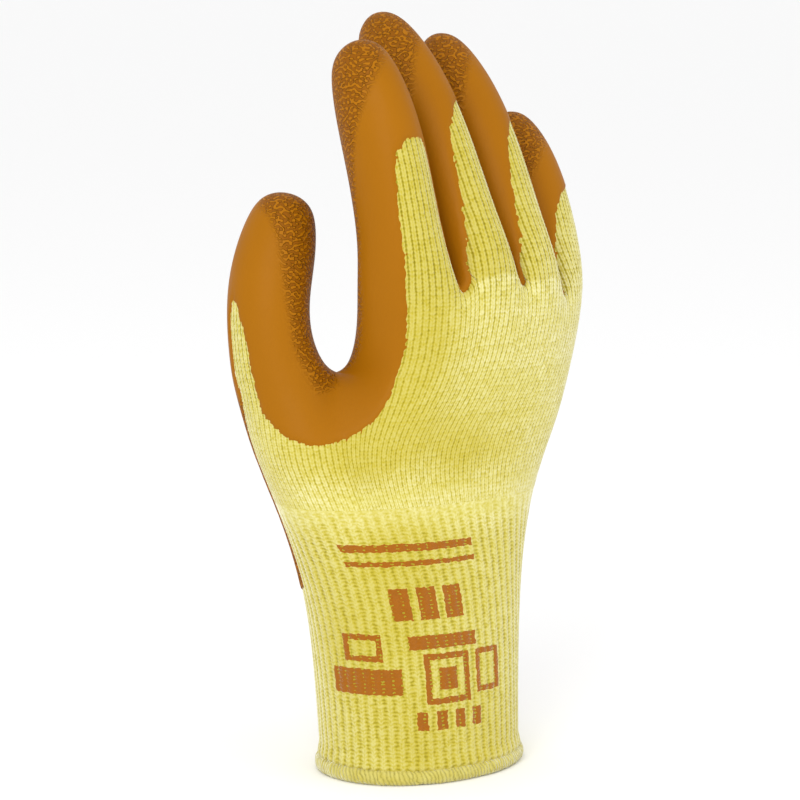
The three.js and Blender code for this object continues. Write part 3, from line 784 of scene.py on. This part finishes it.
def rings_of_uv(around, along):
    """The stitch map of the same faces, from each point's place around and each row's place along."""
    around = np.append(around, 2 * around[-1] - around[-2])
    return corners_of(np.stack(np.meshgrid(around, along), axis=2)).reshape(-1, 4, 2)


# Materials

class Signal:
    """A value on its way through a material's nodes, and the sums that it is used in."""

    def __init__(self, paint, socket):
        self.paint = paint
        self.socket = socket

    def __add__(self, other):
        return self.paint.maths("ADD", self, other)

    def __sub__(self, other):
        return self.paint.maths("SUBTRACT", self, other)

    def __rsub__(self, other):
        return self.paint.maths("SUBTRACT", other, self)

    def __mul__(self, other):
        return self.paint.maths("MULTIPLY", self, other)

    def __abs__(self):
        return self.paint.maths("ABSOLUTE", self)

    __radd__ = __add__

    def clamped(self):
        return self.paint.maths("ADD", self, 0.0, clamp=True)


class Paint:
    """The nodes of one material and the few joins that it needs."""

    def __init__(self, name, look):
        self.material = bpy.data.materials.new(name)
        self.material.use_nodes = True
        self.nodes = self.material.node_tree.nodes
        self.nodes.clear()
        self.shader = self.add("ShaderNodeBsdfPrincipled", look)
        self.add("ShaderNodeOutputMaterial", {"Surface": self.shader.outputs["BSDF"]})

    def add(self, kind, sockets=None, **settings):
        """A new node with its settings, and with the sockets named or numbered fed."""
        made = self.nodes.new(kind)
        for key, value in settings.items():
            setattr(made, key, value)
        for key, value in (sockets or {}).items():
            self.feed(made.inputs[key], value)
        return made

    def signal(self, output, kind, sockets=None, **settings):
        """What comes out of a new node."""
        return Signal(self, self.add(kind, sockets, **settings).outputs[output])

    def feed(self, socket, value):
        """Joins a value to a socket, or sets the socket to a plain number or colour."""
        value = value.socket if isinstance(value, Signal) else value
        if isinstance(value, bpy.types.NodeSocket):
            self.material.node_tree.links.new(value, socket)
        else:
            socket.default_value = value

    def maths(self, operation, *values, clamp=False):
        sockets = dict(enumerate(values))
        return self.signal(0, "ShaderNodeMath", sockets, operation=operation, use_clamp=clamp)

    def curve(self, value, stops):
        """A value read off an eased line through (place, level) stops."""
        made = self.add("ShaderNodeValToRGB", {"Fac": value})
        made.color_ramp.interpolation = "EASE"
        elements = made.color_ramp.elements
        while len(elements) < len(stops):
            elements.new(1.0)
        for element, (place, level) in zip(elements, stops):
            element.position = place
            element.color = (level, level, level, 1)
        return Signal(self, made.outputs["Color"])

    def blend(self, share, one, two):
        """A colour that passes from one to two as the share rises."""
        made = self.add("ShaderNodeMix", {"Factor": share}, data_type="RGBA")
        ends = [socket for socket in made.inputs if socket.type == "RGBA"]
        for socket, value in zip(ends, (one, two)):
            self.feed(socket, value if isinstance(value, Signal) else (*value, 1))
        return Signal(self, next(socket for socket in made.outputs if socket.type == "RGBA"))

    def noise(self, scale, detail=0.0, stretch=(1, 1, 1)):
        place = self.signal("Object", "ShaderNodeTexCoord")
        place = self.signal("Vector", "ShaderNodeMapping", {"Vector": place, "Scale": stretch})
        return self.signal("Fac", "ShaderNodeTexNoise", {"Vector": place, "Scale": scale, "Detail": detail})

    def folds(self, pitch):
        """Folds of even width that wind about and mostly run level: waves of one length, summed."""
        place = self.signal("Object", "ShaderNodeTexCoord")
        drift = self.signal("Color", "ShaderNodeTexNoise", {"Vector": place, "Scale": DRIFT_FINENESS / pitch})
        sockets = {0: drift, 1: (DRIFT_REACH * pitch,) * 3, 2: place}
        place = self.signal("Vector", "ShaderNodeVectorMath", sockets, operation="MULTIPLY_ADD")
        total = 0.0
        for i in range(FOLD_WAVES):
            rise = FOLD_LEAST_RISE + (1 - FOLD_LEAST_RISE) * (i + 0.5) / FOLD_WAVES
            level = math.sqrt(1 - rise * rise)
            turn = i * GOLDEN_ANGLE
            way = np.array([level * math.cos(turn), level * math.sin(turn), rise]) * 2 * math.pi / pitch
            along = self.signal("Value", "ShaderNodeVectorMath", {0: place, 1: way}, operation="DOT_PRODUCT")
            total = self.maths("COSINE", along + FOLD_OFFSET * i) + total
        return total

    def split(self, place):
        """A place's coordinates, each by itself."""
        made = self.add("ShaderNodeSeparateXYZ", {"Vector": place})
        return [Signal(self, output) for output in made.outputs]

    def stitch_place(self):
        """The place of a point in the rows of stitches: wales across and courses up."""
        return self.split(self.signal("UV", "ShaderNodeUVMap", uv_map="stitches"))[:2]

    def value(self, name):
        return self.signal("Fac", "ShaderNodeAttribute", attribute_name=name)

    def finish(self, colour, height, distance, strength):
        """Gives the shader its colour and its relief, and hands over the material."""
        sockets = {"Height": height, "Distance": distance, "Strength": strength}
        self.feed(self.shader.inputs["Normal"], self.signal("Normal", "ShaderNodeBump", sockets))
        self.feed(self.shader.inputs["Base Color"], colour)
        return self.material


def scaled(colour, factor):
    return [part * factor for part in colour]


def cloth_paint(name):
    """A material that is dull like yarn, with the pale bloom of its loose fibres."""
    return Paint(name, {
        "Roughness": 0.92,
        "Specular IOR Level": 0.15,
        "Sheen Weight": 1.0,
        "Sheen Roughness": 0.35,
        "Sheen Tint": (1.0, 1.0, 0.92, 1),
    })


def knit_height(paint, profile, crown, rowed, holes):
    """The height of the stitches: a profile across each wale, and legs that slant within its crown."""
    u, v = paint.stitch_place()
    wander = paint.noise(240, 1.0) * 0.7 - 0.35
    u = u + wander * 0.3
    v = v + wander
    off = abs(paint.maths("FRACT", u) * 2.0 - 1.0)
    slant = paint.maths("MINIMUM", off, crown) * (0.5 / crown)
    hollow = 0.5 - paint.maths("COSINE", (v - slant) * (2 * math.pi)) * 0.5
    leg = 1.0 - hollow * (off * off * holes + rowed)
    column, row = paint.maths("FLOOR", u * (1 / crown)), paint.maths("FLOOR", v)
    stitch = paint.signal("Vector", "ShaderNodeCombineXYZ", {"X": column, "Y": row})
    uneven = paint.signal("Value", "ShaderNodeTexWhiteNoise", {"Vector": stitch}, noise_dimensions="2D")
    return paint.curve(off, profile) * leg + uneven * 0.22 - 0.11


def faded(height, middle, shown):
    """A height brought nearer its middle where the stitches hardly show."""
    return (height - middle) * shown + middle


def blotches_and_painted_sheen(paint, aside):
    """Deeper yellow in blotches, and down the middle of the back with paler sides as painted sheen."""
    return paint.noise(28, 2.0) * 1.2 - 0.24 - aside * 12.0


def yarn_colour(paint, height, colours, deeper):
    """Yellow yarn, pale in long streaks, with painted highlight on its crown and painted olive shade between
    stitches.
    """
    height = height + paint.noise(1100, 2.0) * 0.66 - 0.33
    streaks = (paint.noise(70, 4.0, stretch=(0.5, 0.5, 2.2)) * 2.6 - 0.8).clamped() * (1.0 - deeper)
    body = paint.blend(deeper, colours.yarn, colours.yarn_deep)
    # Painted shade: olive in the hollows between the stitches.
    risen = paint.curve(height, [(0.05, 0.0), (0.30, 0.35), (0.62, 1.0)])
    body = paint.blend(risen, colours.painted_gap_shade, body)
    # Painted highlight: the crowns of the stitches are paler, palest in the streaks.
    crown = paint.blend(streaks, colours.yarn_pale, colours.streak_highlight)
    shown = paint.curve(height, [(0.48, 0.0), (0.98, 1.0)]) * (1.0 - deeper * 0.6)
    return height, paint.blend(shown, body, crown)


def knit_paint(colours):
    paint = cloth_paint("pale_yellow_knit")
    height = knit_height(paint, [(0.0, 0.70), (0.5, 1.0), (0.8, 0.66), (1.0, 0.30)], 1.0, 0.12, 0.45)
    height = faded(height, 0.72, paint.value("open") * 0.7 + 0.3)
    x, _, z = paint.split(paint.signal("Object", "ShaderNodeTexCoord"))
    aside = abs(x - MIDDLE_OF_BACK)
    # Painted sheen: a band low on the back's middle is painted a deeper yellow than its sides.
    painted_band_share = (1.1 - abs(z - PAINTED_DEEP_BAND) * 75.0).clamped() * (0.9 - aside * 22.0).clamped()
    deeper = (paint.value("by_latex") * 0.85 + blotches_and_painted_sheen(paint, aside) + painted_band_share).clamped()
    height, colour = yarn_colour(paint, height, colours, deeper)
    return paint.finish(colour, height, 0.0004, 0.7)


def inside_print(paint):
    """How far a point of the cuff lies outside the nearest printed mark, below nought inside it."""
    across, up = paint.value("print_across"), paint.value("print_up")
    nearest = 1.0
    for mark in PRINTED_MARKS:
        beside = abs(across - mark.across) - mark.half_width
        above = abs(up - mark.up) - mark.half_height
        reach = paint.maths("MAXIMUM", beside, above)
        if mark.line:
            reach = abs(reach + mark.line / 2) - mark.line / 2
        nearest = paint.maths("MINIMUM", nearest, reach)
    return nearest


def cuff_paint(colours):
    paint = cloth_paint("pale_yellow_rib")
    rib = [(0.0, 0.84), (0.26, 1.0), (0.55, 0.79), (0.8, 0.62), (1.0, 0.64)]
    shown = paint.value("open")
    height = faded(knit_height(paint, rib, 0.5, 0.24, 0.30), 0.75, shown * 0.62 + 0.2)
    # Painted sheen: the cuff is paler to either side of the print's middle, the side that faces the camera.
    deeper = (shown * 0.75 - 0.12 + blotches_and_painted_sheen(paint, abs(paint.value("print_across")))).clamped()
    height, colour = yarn_colour(paint, height, colours, deeper)
    ragged = inside_print(paint) + paint.noise(700, 1.0) * 0.0011 - 0.00055
    printed = paint.maths("LESS_THAN", ragged, 0.0) * paint.maths("GREATER_THAN", height, 0.44)
    ink = paint.blend(paint.noise(400, 2.0), colours.ink, scaled(colours.ink, 1.25))
    return paint.finish(paint.blend(printed * 0.94, colour, ink), height, 0.0004, 0.7)


def hem_paint(colours):
    paint = cloth_paint("overlock_thread")
    u, v = paint.stitch_place()
    slant = u + v + paint.noise(330, 2.0) * 1.8 - 0.9
    thread = abs(paint.maths("SINE", slant * math.pi))
    height = thread + paint.noise(1100, 3.0) * 1.1 - 0.55
    # Painted shade: olive between the threads, from their height.
    share = paint.curve(height, [(0.0, 0.45), (0.4, 0.82), (1.0, 1.0)])
    yarn = paint.blend(paint.noise(260, 3.0), colours.yarn_deep, colours.yarn_pale)
    return paint.finish(paint.blend(share, colours.painted_gap_shade, yarn), height, 0.0003, 0.8)


def lining_paint(colours):
    paint = cloth_paint("purl_side")
    loop, row = [paint.maths("SINE", place * (2 * math.pi)) for place in paint.stitch_place()]
    height = (row + loop * 0.5) * 0.3 + 0.5
    height, colour = yarn_colour(paint, height, colours, 0.3)
    return paint.finish(colour, height, 0.0003, 0.6)


def latex_paint(sizes, colours):
    paint = Paint("ochre_latex", {"Specular IOR Level": 0.08})
    paint.feed(paint.shader.inputs["Roughness"], paint.noise(160, 2.0) * 0.16 + 0.42)
    ridge = paint.curve(paint.folds(sizes.crinkle_pitch) * 0.16 + 0.5, [(0.36, 0.0), (0.70, 1.0)])
    crinkle = paint.value("crinkle")
    raised = ridge * crinkle
    tone = (paint.noise(45, 3.0) * 0.7 - 0.2).clamped()
    colour = paint.blend(tone, colours.latex, scaled(colours.latex, 1.15))
    # Painted shade: the furrows are darkened, and the crinkled latex as a whole a little.
    colour = paint.blend((0.66 - ridge * 0.62) * crinkle, colour, colours.latex_deep)
    # Painted highlight: the wrinkles' crests are lightened.
    colour = paint.blend(raised * 0.26, colour, scaled(colours.latex, 1.5))
    return paint.finish(colour, raised + paint.noise(420, 3.0) * 0.12, 0.0008, 1.0)


# Pieces

KNIT_NODES = ["knit_palm", "knit_thumb", "knit_index", "knit_middle", "knit_ring", "knit_little"]
HAND_PIECES = ("palm", "fork", "crotch", "index", "middle", "ring", "little", "thumb")
KNIT_PARTS = [
    ("bare_knit_of_hand", ("palm", "fork", "crotch"), ["knit_palm"]),
    ("bare_knit_of_digits", ("index", "middle", "ring", "little", "thumb"), KNIT_NODES[1:]),
]


def finish_piece(piece, slot, *nodes):
    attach(piece, "root")
    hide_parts(*nodes)


def shared_form(scene):
    """The rounded form, worked out once for all pieces of one set of sizes."""
    sizes = scene.glove_sizes
    key = tuple(getattr(sizes, name) for name in GloveSizes.__annotations__)
    if shared_form.made.get("key") != key:
        shared_form.made = {"key": key, "form": Form(sizes)}
    return shared_form.made["form"]


shared_form.made = {}


class GLOVE_OT_knit(bpy.types.Operator):
    """Knits the bare part of the hand in plain stitches"""

    bl_idname = "glove.knit"
    bl_label = "Bare knit"

    def execute(self, context):
        sizes = context.scene.glove_sizes
        cloth = Cloth(shared_form(context.scene), HAND_PIECES, WALE_STEPS, COURSE_STEPS)
        bare = cloth.depth[cloth.quads].max(axis=1) < KNIT_UNDER
        relief = sizes.stitch_relief * cloth.open * (stitch_height(cloth.phase) - STITCH_LEVEL)
        sunk = KNIT_SINK * smoothstep(0.0002, 0.0016, cloth.depth)
        outer = cloth.points + cloth.normals * (relief - sunk)[:, None]
        inner = cloth.points - cloth.normals * (KNIT_BACK + sunk)[:, None]
        values = {"open": cloth.open, "by_latex": smoothstep(-0.022, -0.003, cloth.depth)}
        material = knit_paint(context.scene.glove_colours)
        for name, pieces, nodes in KNIT_PARTS:
            keep = bare & np.isin(cloth.piece, pieces)
            piece = make_shell(name, outer, inner, cloth.quads[keep], cloth.uv[keep], values, material)
            finish_piece(piece, "knit", *nodes)
        return {"FINISHED"}


class GLOVE_OT_lining(bpy.types.Operator):
    """Closes the hand and all its digits with the knit's own inner side"""

    bl_idname = "glove.lining"
    bl_label = "Inner side of the knit"

    def execute(self, context):
        cloth = Cloth(shared_form(context.scene), HAND_PIECES, 1, 1)
        outer, inner = [cloth.points - cloth.normals * (KNIT_BACK + under) for under in LINING_FACES]
        material = lining_paint(context.scene.glove_colours)
        piece = make_shell("knit_inner_side", outer, inner, cloth.quads, cloth.uv, {}, material)
        finish_piece(piece, "knit", *KNIT_NODES)
        return {"FINISHED"}


def cuff_net(form, across, up):
    """The smooth cuff in up + 1 rows of evenly spaced points, with their normals."""
    bands = [i for i, face in enumerate(form.faces) if face.piece == "cuff"]
    columns = []
    for low, high in zip(bands[:LOWER_COUNT], bands[LOWER_COUNT:]):
        net = [np.concatenate([values[low], values[high][1:]]) for values in (form.points, form.normals)]
        columns.append(np.concatenate(net, axis=2)[:, :-1])
    columns.append(columns[0][:, :1])
    net = np.concatenate(columns, axis=1)
    net = spaced(net.transpose(1, 0, 2), up).transpose(1, 0, 2)
    net = spaced(net, across)[:, :-1]
    return net[:, :, :3], unit(net[:, :, 3:])


def rib_height(rib, course, sizes):
    """The relief of the ribs, with the stitches that run up each of them."""
    off = np.abs(2 * (rib % 1.0) - 1)
    leg = 0.5 + 0.5 * np.cos(2 * math.pi * (course[:, None] - np.minimum(off, 0.5)[None]))
    crest = np.interp(off, [0, 0.34, 0.67, 1], [0.9, 1, 0.35, 0.1])
    return (crest[None] - 0.8) * sizes.rib_relief + (leg - 0.7) * 0.22 * sizes.stitch_relief


def print_place(ring):
    """How far round the cuff each point of a ring stands from the middle of the print."""
    aim = np.array([math.sin(PHOTO_AZIMUTH), -math.cos(PHOTO_AZIMUTH)])
    middle = (unit(ring[:, :2]) @ aim).argmax()
    lengths = np.concatenate([[0], np.cumsum(np.linalg.norm(np.diff(ring, axis=0), axis=1))])
    girth = lengths[-1] + np.linalg.norm(ring[0] - ring[-1])
    return (lengths - lengths[middle] + girth / 2) % girth - girth / 2


class GLOVE_OT_cuff(bpy.types.Operator):
    """Knits the cuff in upright ribs with the plain print on it"""

    bl_idname = "glove.cuff"
    bl_label = "Ribbed cuff"

    def execute(self, context):
        sizes = context.scene.glove_sizes
        rise = (CUFF_SECTIONS[-1].height - CUFF_SECTIONS[0].height) * sizes.knuckle_height
        courses = round(rise / sizes.course_height)
        count = sizes.rib_count * RIB_STEPS
        points, normals = cuff_net(shared_form(context.scene), count, courses * COURSE_STEPS)
        rib = np.arange(count) / RIB_STEPS
        course = np.arange(courses * COURSE_STEPS + 1) / COURSE_STEPS
        fade = 1 - 0.8 * smoothstep(0.84, 1.0, course / courses)
        flare = CUFF_FLARE * (1 - smoothstep(0, FLARED_COURSES, course))
        height = rib_height(rib, course, sizes) * fade[:, None] + flare[:, None]
        outer = points + normals * height[:, :, None]
        inner = points - normals * CUFF_INNER
        tucked = np.array([0, 0, CUFF_TUCK])
        outer = np.concatenate([outer[:1] - normals[:1] * CUFF_TUCK_IN - tucked, outer])
        inner = np.concatenate([inner[:1] - tucked, inner])
        points = np.concatenate([points[:1] - tucked, points])
        course = np.concatenate([[-1], course])
        fade = np.concatenate([[1], fade])
        rows = len(points)
        back = np.unique(np.append(np.arange(0, rows, INNER_ROW_STEP), rows - 1))
        start = rows * count
        top, inner_top = start - count, start + (len(back) - 1) * count
        here = np.arange(count)
        after = np.roll(here, -1)
        faces = [
            rings_of_faces(rows, count),
            rings_of_faces(len(back), count, start)[:, ::-1],
            np.column_stack([after, here, start + here, start + after]),
            np.column_stack([top + here, top + after, inner_top + after, inner_top + here]),
        ]
        uvs = [
            rings_of_uv(rib, course),
            rings_of_uv(rib, course[back])[:, ::-1],
            np.zeros((2 * count, 4, 2)),
        ]
        values = {
            "print_across": np.tile(print_place(points[0]), (rows, 1)),
            "print_up": points[:, :, 2],
            "open": np.tile(fade[:, None], (1, count)),
        }
        values = {key: np.concatenate([value, value[back]]).ravel() for key, value in values.items()}
        both = np.concatenate([outer, inner[back]]).reshape(-1, 3)
        material = cuff_paint(context.scene.glove_colours)
        piece = make_mesh("ribbed_cuff", both, np.concatenate(faces), np.concatenate(uvs), values, material)
        finish_piece(piece, "cuff", "rib_cuff")
        return {"FINISHED"}


def hem_line(cage, count):
    """The rim of the wrist opening as count points an equal length apart."""
    shape = CUFF_SECTIONS[0]
    rim = []
    for angle in np.linspace(0, 2 * math.pi, 400):
        share = np.sign(math.cos(angle)) * abs(math.cos(angle)) ** (2 / shape.square)
        rim.append(cage.on_section(shape, share, -1 if math.sin(angle) < 0 else 1))
    return even_line(np.array(rim), count + 1)[:-1]


class GLOVE_OT_hem(bpy.types.Operator):
    """Rolls the hem round the wrist opening and lays its overlock threads"""

    bl_idname = "glove.hem"
    bl_label = "Rolled hem"

    def execute(self, context):
        sizes = context.scene.glove_sizes
        threads = sizes.hem_threads
        count = threads * THREAD_STEPS
        rim = hem_line(shared_form(context.scene).cage, count)
        along = unit(np.roll(rim, -1, axis=0) - np.roll(rim, 1, axis=0))
        out = np.column_stack([along[:, 1], -along[:, 0], np.zeros(count)])
        middle = rim + out * (HEM_PROUD - sizes.hem_thickness / 2)
        middle[:, 2] = sizes.hem_height / 2
        place = np.arange(count) / THREAD_STEPS
        share = np.arange(HEM_STEPS) / HEM_STEPS
        turn = 2 * math.pi * share
        slant = place[:, None] + THREAD_SLANT * share[None]
        slant = slant + 0.3 * np.sin(place * 2 * math.pi * 31 / threads)[:, None]
        thread = np.abs(np.sin(math.pi * slant))
        rng = np.random.default_rng(7)
        loose = np.interp(place, np.arange(threads + 1), rng.normal(0, 1, threads + 1))
        loose[-THREAD_STEPS:] = loose[0]
        swell = 1 - 0.05 * (1 - thread) + 0.03 * loose[:, None]
        waver = 1 + 0.04 * np.sin(place * 2 * math.pi * 9 / threads)[:, None]
        wide = sizes.hem_thickness / 2 * np.cos(turn)[None] * swell * waver
        points = middle[:, None] + out[:, None] * wide[:, :, None]
        points[:, :, 2] += sizes.hem_height / 2 * np.sin(turn)[None] * swell
        index = np.pad(np.arange(count * HEM_STEPS).reshape(count, HEM_STEPS), (0, 1), "wrap")
        up = np.arange(HEM_STEPS + 1) * THREAD_SLANT / HEM_STEPS
        stitch = np.stack(np.meshgrid(np.arange(count + 1) / THREAD_STEPS, up, indexing="ij"), axis=2)
        outward = [0, 3, 2, 1]
        quads = corners_of(index)[:, :, outward].reshape(-1, 4)
        uv = corners_of(stitch)[:, :, outward].reshape(-1, 4, 2)
        material = hem_paint(context.scene.glove_colours)
        piece = make_mesh("rolled_hem", points.reshape(-1, 3), quads, uv, {}, material)
        finish_piece(piece, "hem", "cuff_hem")
        return {"FINISHED"}


class GLOVE_OT_latex(bpy.types.Operator):
    """Coats palm, thumb and fingertips with latex, tucked between the stitches at its edge"""

    bl_idname = "glove.latex"
    bl_label = "Latex coat"

    def execute(self, context):
        sizes = context.scene.glove_sizes
        cloth = Cloth(shared_form(context.scene), (*HAND_PIECES, "cuff"), 2, 1)
        keep = cloth.depth[cloth.quads].max(axis=1) > -LATEX_OVER
        soaked = cloth.depth + np.random.default_rng(3).normal(0, LATEX_RAGGED, len(cloth.depth))
        lift = (sizes.latex_lift + LATEX_TUCK) * smoothstep(-0.0010, 0.0012, soaked) - LATEX_TUCK
        outer = cloth.points + cloth.normals * lift[:, None]
        inner = cloth.points + cloth.normals * (lift - LATEX_SKIN)[:, None]
        material = latex_paint(sizes, context.scene.glove_colours)
        values = {"crinkle": cloth.crinkle}
        piece = make_shell("latex_coat", outer, inner, cloth.quads[keep], cloth.uv[keep], values, material)
        finish_piece(piece, "latex", "latex_coating")
        return {"FINISHED"}


class GLOVE_OT_stage(bpy.types.Operator):
    """Sets the pale floor, the studio light and the camera"""

    bl_idname = "glove.stage"
    bl_label = "Stage"

    def execute(self, context):
        scene = context.scene
        bpy.ops.object.select_all(action="DESELECT")
        bpy.ops.mesh.primitive_circle_add(vertices=96, radius=60, fill_type="NGON", location=(0, 0, 0))
        floor = context.object
        floor.name = "floor"
        look = {"Base Color": (*scene.glove_colours.floor, 1), "Roughness": 0.9, "Specular IOR Level": 0.1}
        floor.data.materials.append(Paint("pale_floor", look).material)
        world = bpy.data.worlds.new("studio")
        world.use_nodes = True
        background = world.node_tree.nodes["Background"].inputs
        background["Color"].default_value = (1, 1, 1, 1)
        background["Strength"].default_value = 1.0
        scene.world = world
        self.add_light("key", (-0.95, -0.75, 0.75), 0.9, 9.0)
        self.add_light("fill", (0.55, -1.15, 0.45), 1.0, 2.0)
        self.add_camera(context)
        scene.view_settings.view_transform = "Standard"
        return {"FINISHED"}

    def add_light(self, name, place, size, power):
        lamp = bpy.data.lights.new(name, "AREA")
        lamp.shape = "DISK"
        lamp.size = size
        lamp.energy = power
        light = bpy.data.objects.new(name, lamp)
        light.location = place
        way = Vector((0, 0, 0.12)) - light.location
        light.rotation_euler = way.to_track_quat("-Z", "Y").to_euler()
        bpy.context.collection.objects.link(light)

    def add_camera(self, context):
        """The photograph's view of the back of the hand, from the thumb's side."""
        flat = math.cos(PHOTO_ELEVATION)
        back = Vector((math.sin(PHOTO_AZIMUTH) * flat, -math.cos(PHOTO_AZIMUTH) * flat,
                          math.sin(PHOTO_ELEVATION)))
        lens = bpy.data.cameras.new("photo_camera")
        lens.sensor_width = SENSOR_WIDTH
        lens.lens = PIXELS_PER_METRE * PHOTO_DISTANCE / PHOTO_PIXELS * SENSOR_WIDTH
        lens.shift_x, lens.shift_y = [shift / PHOTO_PIXELS for shift in PHOTO_SHIFT]
        lens.clip_start, lens.clip_end = 0.05, 200
        camera = bpy.data.objects.new("photo_camera", lens)
        camera.location = Vector(PHOTO_TARGET) + back * PHOTO_DISTANCE
        camera.rotation_euler = (-back).to_track_quat("-Z", "Y").to_euler()
        context.collection.objects.link(camera)
        context.scene.camera = camera


class GLOVE_PT_panel(bpy.types.Panel):
    """Lists the glove's pieces, sizes and colours"""

    bl_idname = "GLOVE_PT_panel"
    bl_label = "Glove"
    bl_space_type = "VIEW_3D"
    bl_region_type = "UI"
    bl_category = "Glove"

    def draw(self, context):
        for operator in OPERATORS:
            self.layout.operator(operator.bl_idname)
        for group in (context.scene.glove_sizes, context.scene.glove_colours):
            for name in group.__annotations__:
                self.layout.prop(group, name)


OPERATORS = (GLOVE_OT_knit, GLOVE_OT_lining, GLOVE_OT_cuff, GLOVE_OT_hem, GLOVE_OT_latex, GLOVE_OT_stage)
CLASSES = (GloveSizes, GloveColours, *OPERATORS, GLOVE_PT_panel)


def register():
    for kind in CLASSES:
        bpy.utils.register_class(kind)
    bpy.types.Scene.glove_sizes = bpy.props.PointerProperty(type=GloveSizes)
    bpy.types.Scene.glove_colours = bpy.props.PointerProperty(type=GloveColours)


def unregister():
    del bpy.types.Scene.glove_colours
    del bpy.types.Scene.glove_sizes
    for kind in reversed(CLASSES):
        bpy.utils.unregister_class(kind)


def main():
    register()
    bpy.ops.glove.knit()
    bpy.ops.glove.lining()
    bpy.ops.glove.cuff()
    bpy.ops.glove.hem()
    bpy.ops.glove.latex()
    bpy.ops.glove.stage()


if __name__ == "__main__":
    main()
